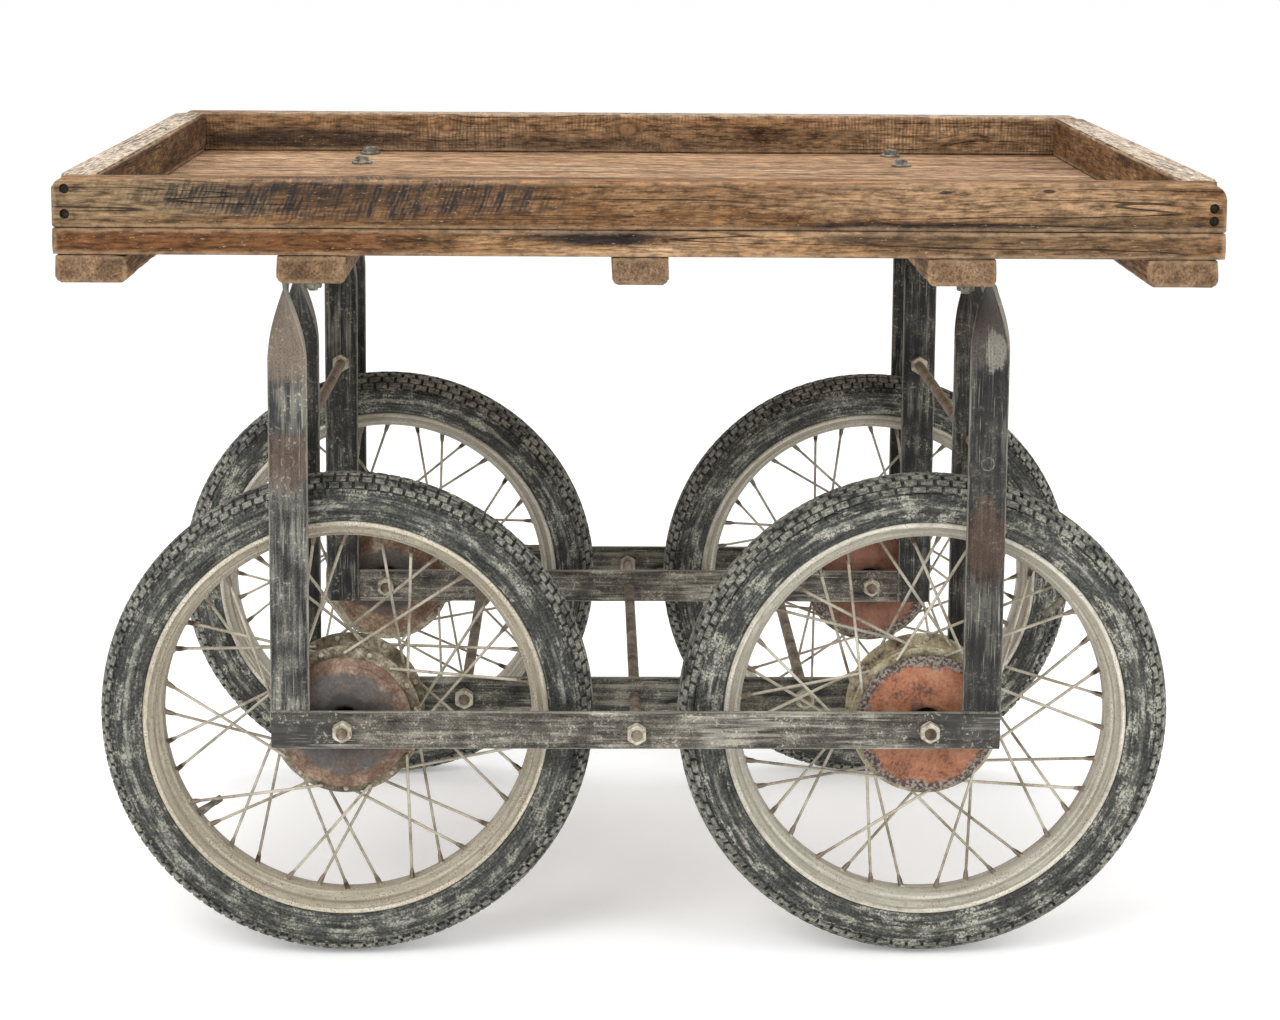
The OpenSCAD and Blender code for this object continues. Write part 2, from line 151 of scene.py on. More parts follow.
class Graph:
    """A material's node tree, built one node at a time."""

    def __init__(self, name: str) -> None:
        """Starts an empty tree in a new material."""
        self.material = bpy.data.materials.new(name)
        self.material.use_nodes = True
        self.tree = self.material.node_tree
        self.tree.nodes.clear()
        coordinates = self.node("ShaderNodeTexCoord")
        self.point = coordinates.outputs["Object"]
        self.normal = coordinates.outputs["Normal"]

    def node(
        self,
        kind: str,
        settings: Optional[dict[str, object]] = None,
        sockets: Optional[dict[Union[int, str], Link]] = None,
    ) -> bpy.types.Node:
        """Makes one node.

        Args:
            kind: The node's type name.
            settings: Its own settings, set before its sockets; "stops" fills a colour ramp.
            sockets: A value or a link for each input socket, by name or by number.

        Returns:
            The node.
        """
        made = self.tree.nodes.new(kind)
        for key, value in (settings or {}).items():
            if key == "stops":
                self._fill_ramp(made.color_ramp, value)
            else:
                setattr(made, key, value)
        for key, value in (sockets or {}).items():
            target = made.inputs[key]
            source = value.socket if isinstance(value, Value) else value
            if isinstance(source, bpy.types.NodeSocket):
                self.tree.links.new(source, target)
            else:
                target.default_value = (*source, 1.0) if target.type == "RGBA" else source
        return made

    def _fill_ramp(self, ramp: bpy.types.ColorRamp, stops: Sequence[tuple[float, Colour]]) -> None:
        """Gives a colour ramp its stops, from the lowest to the highest."""
        while len(ramp.elements) < len(stops):
            ramp.elements.new(1.0)
        for element, (place, colour) in zip(ramp.elements, stops):
            element.position = place
            element.color = (*colour, 1.0)

    def maths(self, operation: str, *numbers: Number) -> Value:
        """One Math node on one to three numbers."""
        made = self.node("ShaderNodeMath", {"operation": operation}, dict(enumerate(numbers)))
        return Value(self, made.outputs[0])

    def vectors(self, operation: str, *links: Link) -> bpy.types.Node:
        """One Vector Math node."""
        return self.node("ShaderNodeVectorMath", {"operation": operation}, dict(enumerate(links)))

    def split(self, vector: Link) -> tuple[Value, Value, Value]:
        """The three parts of a vector."""
        made = self.node("ShaderNodeSeparateXYZ", None, {0: vector})
        return tuple(Value(self, output) for output in made.outputs)

    def join(self, x: Number, y: Number, z: Number) -> bpy.types.NodeSocket:
        """A vector from three parts."""
        return self.node("ShaderNodeCombineXYZ", None, {0: x, 1: y, 2: z}).outputs[0]

    def noise(self, vector: Link, scale: float = 1.0, detail: float = 3.0, roughness: float = 0.55) -> Value:
        """Cloudy noise around one half."""
        made = self.node(
            "ShaderNodeTexNoise", None, {"Vector": vector, "Scale": scale, "Detail": detail, "Roughness": roughness}
        )
        return Value(self, made.outputs[0])

    def cells(self, vector: Link, scale: float, feature: str = "F1") -> Value:
        """The distance to the nearest of scattered points, or to the edge between their cells."""
        made = self.node("ShaderNodeTexVoronoi", {"feature": feature}, {"Vector": vector, "Scale": scale})
        return Value(self, made.outputs[0])

    def ramp(self, factor: Link, stops: Sequence[tuple[float, Colour]]) -> bpy.types.NodeSocket:
        """A colour from a factor."""
        return self.node("ShaderNodeValToRGB", {"stops": stops}, {0: factor}).outputs[0]

    def mix(self, factor: Link, under: Link, over: Link, blend: str = "MIX") -> bpy.types.NodeSocket:
        """One colour laid over another."""
        settings = {"data_type": "RGBA", "blend_type": blend, "clamp_factor": True}
        return self.node("ShaderNodeMix", settings, {0: factor, 6: under, 7: over}).outputs[2]

    def distance(self, centre: Point, reach: Point) -> Value:
        """The distance from a centre, where reach is one unit along each axis."""
        offset = self.vectors("SUBTRACT", self.point, centre).outputs[0]
        scaled = self.vectors("MULTIPLY", offset, tuple(1.0 / r for r in reach)).outputs[0]
        return Value(self, self.vectors("LENGTH", scaled).outputs["Value"])

    def arris(self, low: Point, high: Point) -> Value:
        """The distance from a point on a box's surface to the box's nearest edge."""
        middle = tuple((a + b) / 2 for a, b in zip(low, high))
        half = tuple((b - a) / 2 for a, b in zip(low, high))
        offset = self.vectors("SUBTRACT", self.point, middle).outputs[0]
        depth = self.vectors("SUBTRACT", half, self.vectors("ABSOLUTE", offset).outputs[0]).outputs[0]
        a, b, c = self.split(depth)
        return a.lesser(b).greater(a.greater(b).lesser(c))

    def surface(
        self,
        colour: Link,
        roughness: Link,
        metallic: Link = 0.0,
        height: Optional[Value] = None,
        relief: float = 0.001,
        specular: float = 0.5,
        glow: float = 0.0,
    ) -> bpy.types.Material:
        """Closes the tree with its shader.

        Args:
            colour: Base colour.
            roughness: Roughness.
            metallic: How metallic the surface is.
            height: Height of the relief, 0 to 1.
            relief: Depth in metres that a height of 1 stands for.
            specular: Specular level.
            glow: Strength of the white light it gives off.

        Returns:
            The material.
        """
        sockets = {
            "Base Color": colour, "Roughness": roughness, "Metallic": metallic, "Specular IOR Level": specular,
            "Emission Strength": glow,
        }
        if height is not None:
            sockets["Normal"] = self.node(
                "ShaderNodeBump", None, {"Strength": 1.0, "Distance": relief, "Height": height}
            ).outputs[0]
        shader = self.node("ShaderNodeBsdfPrincipled", None, sockets)
        self.node("ShaderNodeOutputMaterial", None, {"Surface": shader.outputs[0]})
        return self.material


# ---- Finishes ---------------------------------------------------------------------------------

SAW_DIRT: Colour = (0.035, 0.022, 0.016)
SAW_INK: Colour = (0.022, 0.022, 0.024)
PORE_DIRT: Colour = (0.035, 0.022, 0.015)
CRACK_BLACK: Colour = (0.018, 0.013, 0.011)
BRUISE: Colour = (0.045, 0.03, 0.022)
END_GRAIN: Colour = (0.075, 0.052, 0.036)
KNOT_DARK: Colour = (0.08, 0.04, 0.02)
KNOT_PALE: Colour = (0.3, 0.17, 0.09)
RUBBER_WORN: Colour = (0.18, 0.182, 0.155)
RIM_BRIGHT: Colour = (0.82, 0.8, 0.7)
# Olive darkening of the rims' channels and wells: painted shade, with some dirt
RIM_SHADE_AND_GRIME: Colour = (0.17, 0.145, 0.095)
OXIDE_DARK: Colour = (0.09, 0.045, 0.03)
GREASY_GREY: Colour = (0.13, 0.125, 0.12)

@dataclass(frozen=True)
class Patch:
    """A ragged area of another tone on a board."""

    centre: Point
    reach: Point
    colour: Colour
    strength: float = 0.8
    ragged: float = 1.4


@dataclass(frozen=True)
class Knot:
    """A knot in a board, at a place along the grain and a height."""

    run: float
    z: float
    radius: float


@dataclass(frozen=True)
class Timber:
    """Old sawn wood with its grain along one axis, cracks, saw marks, stains and worn arrises."""

    name: str
    low: Point
    high: Point
    along: Axis
    seed: float
    dark: Colour = (0.05, 0.025, 0.012)
    body: Colour = (0.15, 0.075, 0.031)
    pale: Colour = (0.28, 0.16, 0.077)
    bright: Colour = (0.48, 0.33, 0.2)
    saw: float = 0.5
    saw_lean: float = 0.35
    saw_span: Optional[Patch] = None
    cracks: float = 1.0
    wear: float = 0.8
    patches: tuple[Patch, ...] = ()
    knots: tuple[Knot, ...] = ()

    def _patch_mask(self, g: Graph, patch: Patch, cloud: Value) -> Value:
        """Where a patch shows, from 0 to its strength."""
        inside = 1.0 - g.distance(patch.centre, patch.reach)
        return (inside + (cloud - 0.5) * patch.ragged).rise(0.0, 0.45) * patch.strength

    def material(self) -> bpy.types.Material:
        """Builds the wood's material."""
        g = Graph(self.name)
        x, y, z = g.split(g.point)
        run, cross = (x, y) if self.along is Axis.X else (y, x)
        s = self.seed
        # The grain wanders a little, and swings round the knots
        warp = (g.noise(g.join(run * 2.2 + s, cross * 6, z * 6), detail=2.0) - 0.5) * 0.03
        cross_w, z_w = cross + warp, z + warp
        knot_mask: Optional[Value] = None
        knot_rings: Optional[Value] = None
        for knot in self.knots:
            a, b = (run - knot.run) / (knot.radius * 1.5), (z - knot.z) / knot.radius
            d = g.maths("SQRT", a * a + b * b)
            near = d.fall(0.4, 2.6)
            z_w = z_w - (z - knot.z) * near * 0.75
            mask = d.fall(0.55, 1.15)
            rings = (d * 6.0 + warp * 260).wave() * 0.5 + 0.5
            knot_mask = mask if knot_mask is None else knot_mask.greater(mask)
            knot_rings = rings * mask if knot_rings is None else knot_rings + rings * mask
        streak = g.noise(g.join(run * 4.5 + s, cross_w * 55, z_w * 55), detail=6.0, roughness=0.7)
        fibre = g.noise(g.join(run * 30 + s, cross_w * 400, z_w * 400), detail=3.0, roughness=0.65)
        broad = g.noise(g.join(run * 4.5 + s, cross * 14, z * 14 + 3.0), detail=3.0)
        blotch = g.noise(g.join(run * 24 + s, cross * 60, z * 60), detail=6.0, roughness=0.72)
        tone = streak * 0.34 + broad * 0.33 + blotch * 0.33
        colour = g.ramp(tone, [(0.4, self.dark), (0.49, self.body), (0.58, self.pale), (0.7, self.bright)])
        for patch in self.patches:
            colour = g.mix(self._patch_mask(g, patch, blotch * 0.6 + streak * 0.4), colour, patch.colour)
        fine = g.ramp(fibre, [(0.34, (0.4, 0.38, 0.37)), (0.5, (0.96, 0.96, 0.96)), (0.66, (1.32, 1.28, 1.22))])
        colour = g.mix(1.0, colour, fine, "MULTIPLY")
        mottle = g.noise(g.join(run * 60 + s, cross * 150, z * 150), detail=5.0, roughness=0.7)
        shade = g.ramp(mottle, [(0.36, (0.5, 0.48, 0.47)), (0.5, (1.0, 1.0, 1.0)), (0.64, (1.3, 1.28, 1.25))])
        end = abs(g.split(g.normal)[self.along.value]).rise(0.6, 0.85)
        colour = g.mix(1.0 - end * 0.7, colour, shade, "MULTIPLY")
        # Strokes left by the saw run across the board, leaning a little
        sway = g.noise(g.join(run * 30 + s, cross * 12, z * 22), detail=3.0) * 16.0
        comb = (run * 1350 - z * 1350 * self.saw_lean + cross * 300 + sway).wave() * 0.5 + 0.5
        across_saw = g.join(run * 110 - z * 110 * self.saw_lean + s, cross * 26, z * 30)
        patchy = g.noise(across_saw, detail=5.0, roughness=0.7)
        stroke = (comb * 0.16 + patchy * 0.98).rise(0.5, 0.68)
        sawn = stroke * (streak * 0.5 + broad * 0.5).rise(0.42, 0.56) * self.saw * 0.5
        colour = g.mix(sawn, colour, SAW_DIRT)
        if self.saw_span is not None:
            zone = self._patch_mask(g, self.saw_span, broad * 0.4 + blotch * 0.6)
            colour = g.mix(zone * 0.35, colour, self.saw_span.colour)
            inked = stroke * 0.6 + patchy.rise(0.47, 0.58) * 0.5
            colour = g.mix(zone * inked, colour, SAW_INK)
        # Long fine cracks and dirt-filled pores along the grain
        ridge = abs(g.noise(g.join(run * 1.7 + s + 7.0, cross_w * 52, z_w * 52), detail=1.5, roughness=0.5) - 0.5)
        crack = ridge.fall(0.003, 0.012) * broad.rise(0.47, 0.57) * self.cracks * (1.0 - end * 0.85)
        pores = g.noise(g.join(run * 34 + s, cross_w * 520, z_w * 520), detail=1.0).rise(0.6, 0.7)
        colour = g.mix(pores * 0.5, colour, PORE_DIRT)
        flecks = g.noise(g.join(run * 150 + s, cross_w * 600, z_w * 600), detail=2.0).rise(0.64, 0.74)
        colour = g.mix(flecks * 0.5, colour, self.bright)
        colour = g.mix(crack * 0.85, colour, CRACK_BLACK)
        if knot_mask is not None:
            heart = g.ramp(knot_rings, [(0.2, KNOT_DARK), (0.8, KNOT_PALE)])
            colour = g.mix(knot_mask * 0.6, colour, heart)
        # Arrises rubbed pale, with some dark bruises
        edge = g.arris(self.low, self.high)
        rubbed = (edge + (blotch - 0.5) * 0.012).fall(0.001, 0.006) * self.wear
        colour = g.mix(rubbed * 0.55, colour, self.bright)
        bruise = (edge + (g.noise(g.point, 70.0, 3.0) - 0.5) * 0.02).fall(-0.001, 0.003)
        colour = g.mix(bruise * 0.5, colour, BRUISE)
        # Sawn ends are darker and show faint rings
        heartwood = g.distance((0, 0, self.low[2] - 0.05), (0.0042, 0.0042, 0.0042))
        ring = (heartwood + blotch * 5.0).wave() * 0.5 + 0.5
        colour = g.mix(end * (0.15 + ring * 0.2), colour, END_GRAIN)
        grain = fibre * 0.22 + streak * 0.45 + blotch * 0.3
        height = grain - crack * 1.3 - stroke * (0.12 + 0.2 * self.saw) - pores * 0.15
        return g.surface(colour, streak * 0.2 + 0.66, height=height, relief=0.0016, specular=0.12)


@dataclass(frozen=True)
class BarSteel:
    """Bare flat bar gone gunmetal, with chalky specks, heat stains, a painted highlight on one leg and pale arrises,
    laid along the bar.
    """

    name: str
    dark: Colour = (0.012, 0.012, 0.012)
    body: Colour = (0.055, 0.053, 0.048)
    worn: Colour = (0.2, 0.18, 0.145)
    chalk: Colour = (0.46, 0.44, 0.36)
    chalkiness: float = 0.5
    scratches: float = 0.5
    arris: float = 0.35
    patches: tuple[Patch, ...] = ()
    seed: float = 0.0

    def material(self) -> bpy.types.Material:
        """Builds the bar's material."""
        g = Graph(self.name)
        lay = g.node("ShaderNodeAttribute", {"attribute_name": "lay"}).outputs["Vector"]
        along, across, _ = g.split(lay)
        shifted = g.vectors("ADD", lay, (self.seed, self.seed * 0.7, 0.0)).outputs[0]
        streak = g.noise(g.join(along * 9 + self.seed, across * 150, 0.0), detail=5.0, roughness=0.68)
        line = g.noise(g.join(along * 14 + self.seed, across * 620, 3.0), detail=2.0)
        cloud = g.noise(shifted, 34.0, 6.0, 0.68)
        broad = g.noise(shifted, 11.0, 4.0)
        grit = g.noise(shifted, 560.0, 3.0, 0.65)
        tone = streak * 0.4 + cloud * 0.35 + grit * 0.25
        colour = g.ramp(tone, [(0.41, self.dark), (0.5, self.body), (0.61, self.worn)])
        rough_edge = cloud * 0.6 + streak * 0.4
        for patch in self.patches:
            inside = 1.0 - g.distance(patch.centre, patch.reach)
            mask = (inside + (rough_edge - 0.5) * patch.ragged * 3.0).rise(0.0, 0.4) * patch.strength
            colour = g.mix(mask * (grit.rise(0.34, 0.56) * 0.6 + 0.4), colour, patch.colour)
        speck = g.noise(shifted, 210.0, 5.0, 0.75).rise(0.54, 0.62) * cloud.rise(0.45, 0.58)
        smear = (streak * 0.5 + broad * 0.5).rise(0.52, 0.6)
        chalk = (speck * 0.8 + smear * 0.35 + smear * speck * 0.4) * self.chalkiness
        colour = g.mix(chalk, colour, self.chalk)
        scratch = line.rise(0.61, 0.68) * broad.rise(0.42, 0.55)
        colour = g.mix(scratch * self.scratches, colour, self.chalk)
        edge = 0.02 - abs(across)
        rubbed = (edge + (cloud - 0.5) * 0.006).fall(0.0002, 0.0018)
        colour = g.mix(rubbed * self.arris, colour, self.chalk)
        roughness = 0.5 + cloud * 0.2 + chalk * 0.25
        metallic = (0.35 - chalk * 0.35).greater(0.0)
        height = cloud * 0.6 + grit * 0.15 + streak * 0.3 + chalk * 0.15
        return g.surface(colour, roughness, metallic, height, relief=0.0012, specular=0.35)


@dataclass(frozen=True)
class Rust:
    """Old ironwork: brown rust over a base, with pale worn places and black grease."""

    name: str
    deep: Colour = (0.05, 0.03, 0.02)
    body: Colour = (0.17, 0.1, 0.06)
    pale: Colour = (0.34, 0.27, 0.19)
    scale: float = 60.0
    roughness: float = 0.68
    metallic: float = 0.25
    relief: float = 0.0008
    seed: float = 0.0

    def material(self) -> bpy.types.Material:
        """Builds the rust's material."""
        g = Graph(self.name)
        moved = g.vectors("ADD", g.point, (self.seed, -self.seed, self.seed * 0.5)).outputs[0]
        cloud = g.noise(moved, self.scale, 5.0, 0.65)
        grit = g.noise(moved, self.scale * 7, 3.0, 0.6)
        pits = g.cells(moved, self.scale * 4).fall(0.05, 0.35)
        tone = cloud * 0.7 + grit * 0.3
        colour = g.ramp(tone, [(0.36, self.deep), (0.5, self.body), (0.64, self.pale)])
        colour = g.mix(pits * cloud.rise(0.5, 0.6) * 0.6, colour, self.deep)
        height = cloud * 0.5 + grit * 0.3 - pits * 0.3
        return g.surface(colour, self.roughness + grit * 0.15, self.metallic, height, self.relief)


@dataclass(frozen=True)
class WheelSpace:
    """Radius, angle and width of a point about one wheel's axle."""

    centre: Point

    def parts(self, g: Graph) -> tuple[Value, Value, Value]:
        """Radius in metres, distance round at the tread's radius in metres, and place along the axle."""
        x, y, z = g.split(g.vectors("SUBTRACT", g.point, self.centre).outputs[0])
        radius = g.maths("SQRT", x * x + z * z)
        return radius, g.maths("ARCTAN2", z, x) * 0.24, y


@dataclass(frozen=True)
class Rubber:
    """Perished black tyre rubber under road dust that lies in rings and in the grooves."""

    name: str
    space: WheelSpace
    black: Colour = (0.01, 0.01, 0.01)
    grey: Colour = (0.05, 0.052, 0.045)
    dust: Colour = (0.45, 0.44, 0.37)
    dustiness: float = 0.6
    core: float = 0.2305
    seed: float = 0.0

    def material(self) -> bpy.types.Material:
        """Builds the rubber's material."""
        g = Graph(self.name)
        radius, around, width = self.space.parts(g)
        moved = g.vectors("ADD", g.point, (self.seed, self.seed, -self.seed)).outputs[0]
        ring = g.noise(g.join(radius * 300, around * 16 + self.seed, width * 300), detail=4.0, roughness=0.65)
        cloud = g.noise(moved, 22.0, 6.0, 0.68)
        grit = g.noise(moved, 420.0, 3.0, 0.65)
        smear = g.noise(g.join(radius * 75, around * 34, width * 75 + self.seed), detail=6.0, roughness=0.7)
        tone = ring * 0.35 + cloud * 0.3 + grit * 0.35
        colour = g.ramp(tone, [(0.4, self.black), (0.5, self.grey), (0.62, RUBBER_WORN)])
        chalk = (cloud * 0.35 + smear * 0.65 + (ring - 0.5) * 0.3).rise(0.49, 0.6)
        chalk = chalk * (grit.rise(0.42, 0.56) * 0.85 + 0.15) * self.dustiness
        # Dust wears off the walls and lies mostly on the tread blocks; below the block tops the tread is darkened
        # towards black
        in_tread = radius.rise(0.244, 0.247)
        from_core = radius - self.core
        height_in_section = g.maths("SQRT", from_core * from_core + width * width)
        block_top = height_in_section.rise(0.0272, 0.0288)
        tread_dust = (block_top * 0.8 + 0.2) * smear.rise(0.38, 0.6) * (grit.rise(0.36, 0.6) * 0.7 + 0.3)
        chalk = g.maths("MULTIPLY_ADD", in_tread, tread_dust * 0.7 - chalk, chalk).greater(0.0)
        colour = g.mix(in_tread * (1.0 - block_top) * 0.6, colour, self.black)
        colour = g.mix(chalk.lesser(1.0), colour, self.dust)
        bead_line = abs(radius - 0.2295).fall(0.0006, 0.003) * smear.rise(0.4, 0.56)
        colour = g.mix(bead_line * 0.4 * self.dustiness, colour, self.dust)
        cracks = g.cells(moved, 190.0, "DISTANCE_TO_EDGE").fall(0.01, 0.05) * cloud.rise(0.45, 0.6)
        colour = g.mix(cracks * 0.5, colour, self.black)
        height = ring * 0.3 + grit * 0.35 + smear * 0.35 - cracks * 0.3
        return g.surface(colour, 0.62 + chalk * 0.25, height=height, relief=0.001, specular=0.3)


@dataclass(frozen=True)
class RimSteel:
    """A plated rim gone chalky cream, with rust bleeding from the spoke holes and along its lips, and painted shade
    with some dirt in its channels and well.
    """

    name: str
    space: WheelSpace
    cream: Colour = (0.56, 0.53, 0.44)
    shade: Colour = (0.26, 0.235, 0.18)
    rust: Colour = (0.2, 0.115, 0.062)
    rustiness: float = 0.35
    seed: float = 0.0

    def material(self) -> bpy.types.Material:
        """Builds the rim's material."""
        g = Graph(self.name)
        radius, around, width = self.space.parts(g)
        moved = g.vectors("ADD", g.point, (self.seed, -self.seed, self.seed)).outputs[0]
        cloud = g.noise(moved, 55.0, 6.0, 0.7)
        grit = g.noise(moved, 520.0, 4.0, 0.7)
        ring = g.noise(g.join(radius * 260, around * 6, width * 260 + self.seed), detail=4.0)
        tone = cloud * 0.4 + ring * 0.35 + grit * 0.25
        colour = g.ramp(tone, [(0.4, self.shade), (0.5, self.cream), (0.62, RIM_BRIGHT)])
        # Painted shade: the channel inside each lip and the well are darkened olive where shade falls in the rim's
        # hollows, with some dirt
        channel = radius.rise(0.1995, 0.2015) * radius.fall(0.2065, 0.2078)
        well = radius.fall(0.197, 0.1995)
        grime_and_shade = (channel * 0.6 + well * 0.38) * (cloud.rise(0.36, 0.52) * 0.6 + 0.4)
        colour = g.mix(grime_and_shade, colour, RIM_SHADE_AND_GRIME)
        speckle = (grit * 0.72 + cloud * 0.28).rise(0.56 - self.rustiness * 0.08, 0.6 - self.rustiness * 0.04)
        colour = g.mix(speckle * 0.8, colour, self.rust)
        roughness = 0.5 + speckle * 0.25 + grit * 0.1
        metallic = (0.15 - speckle * 0.15).greater(0.0)
        height = cloud * 0.4 + grit * 0.35 + speckle * 0.2
        return g.surface(colour, roughness, metallic, height, 0.0006)


@dataclass(frozen=True)
class SpokeSteel:
    """Dull plated wire with pale grime, browner at the nipples."""

    name: str
    space: WheelSpace
    bright: Colour = (0.56, 0.52, 0.42)
    body: Colour = (0.36, 0.325, 0.25)
    dark: Colour = (0.19, 0.155, 0.11)
    rust: Colour = (0.12, 0.068, 0.042)
    nipples_from: float = 0.181
    seed: float = 0.0

    def material(self) -> bpy.types.Material:
        """Builds the wire's material."""
        g = Graph(self.name)
        radius, _, _ = self.space.parts(g)
        moved = g.vectors("ADD", g.point, (self.seed, -self.seed, self.seed)).outputs[0]
        cloud = g.noise(moved, 20.0, 4.0, 0.6)
        grit = g.noise(moved, 420.0, 3.0, 0.65)
        colour = g.ramp(cloud * 0.7 + grit * 0.3, [(0.38, self.dark), (0.48, self.body), (0.62, self.bright)])
        on_nipple = radius.rise(self.nipples_from, self.nipples_from + 0.002)
        rusted = on_nipple * (cloud * 0.6 + grit * 0.4).rise(0.38, 0.5)
        colour = g.mix(rusted * 0.65, colour, self.rust)
        return g.surface(colour, 0.5 + grit * 0.2, 0.25, cloud * 0.5 + grit * 0.5, 0.0004)


@dataclass(frozen=True)
class CoverPaint:
    """Oxide paint on a drum cover, greasy black round its hole and crusted round its rim."""

    name: str
    space: WheelSpace
    paint: Colour = (0.33, 0.12, 0.055)
    faded: Colour = (0.42, 0.2, 0.11)
    grime_and_shade: Colour = (0.03, 0.026, 0.024)
    crust: Colour = (0.27, 0.245, 0.21)
    hub_grease: float = 0.03
    rim_crust: float = 0.058
    stain: float = -0.02
    seed: float = 0.0

    def material(self) -> bpy.types.Material:
        """Builds the cover's material."""
        g = Graph(self.name)
        radius, _, _ = self.space.parts(g)
        moved = g.vectors("ADD", g.point, (self.seed, self.seed, self.seed)).outputs[0]
        cloud = g.noise(moved, 36.0, 5.0, 0.65)
        grit = g.noise(moved, 330.0, 3.0, 0.6)
        tone = cloud * 0.65 + grit * 0.35
        colour = g.ramp(tone, [(0.38, OXIDE_DARK), (0.48, self.paint), (0.64, self.faded)])
        wobble = (cloud - 0.5) * 0.03
        rim = (radius + wobble).rise(self.rim_crust - 0.003, self.rim_crust + 0.003)
        crusted = g.mix(grit.rise(0.42, 0.6), self.grime_and_shade, self.crust)
        colour = g.mix(rim * 0.92, colour, crusted)
        stained = (radius + wobble).fall(self.stain - 0.004, self.stain + 0.003)
        stained = stained * (cloud.rise(0.4, 0.55) * 0.4 + 0.5)
        colour = g.mix(stained, colour, g.mix(grit, self.grime_and_shade, GREASY_GREY))
        grease = (radius + wobble * 1.3).fall(self.hub_grease - 0.008, self.hub_grease + 0.004)
        colour = g.mix(grease * 0.9, colour, self.grime_and_shade)
        height = cloud * 0.4 + grit * 0.3 + rim * (grit * 0.8)
        return g.surface(colour, 0.6 + grit * 0.15 - grease * 0.15, 0.1, height, 0.0012)


# ---- Forms ------------------------------------------------------------------------------------


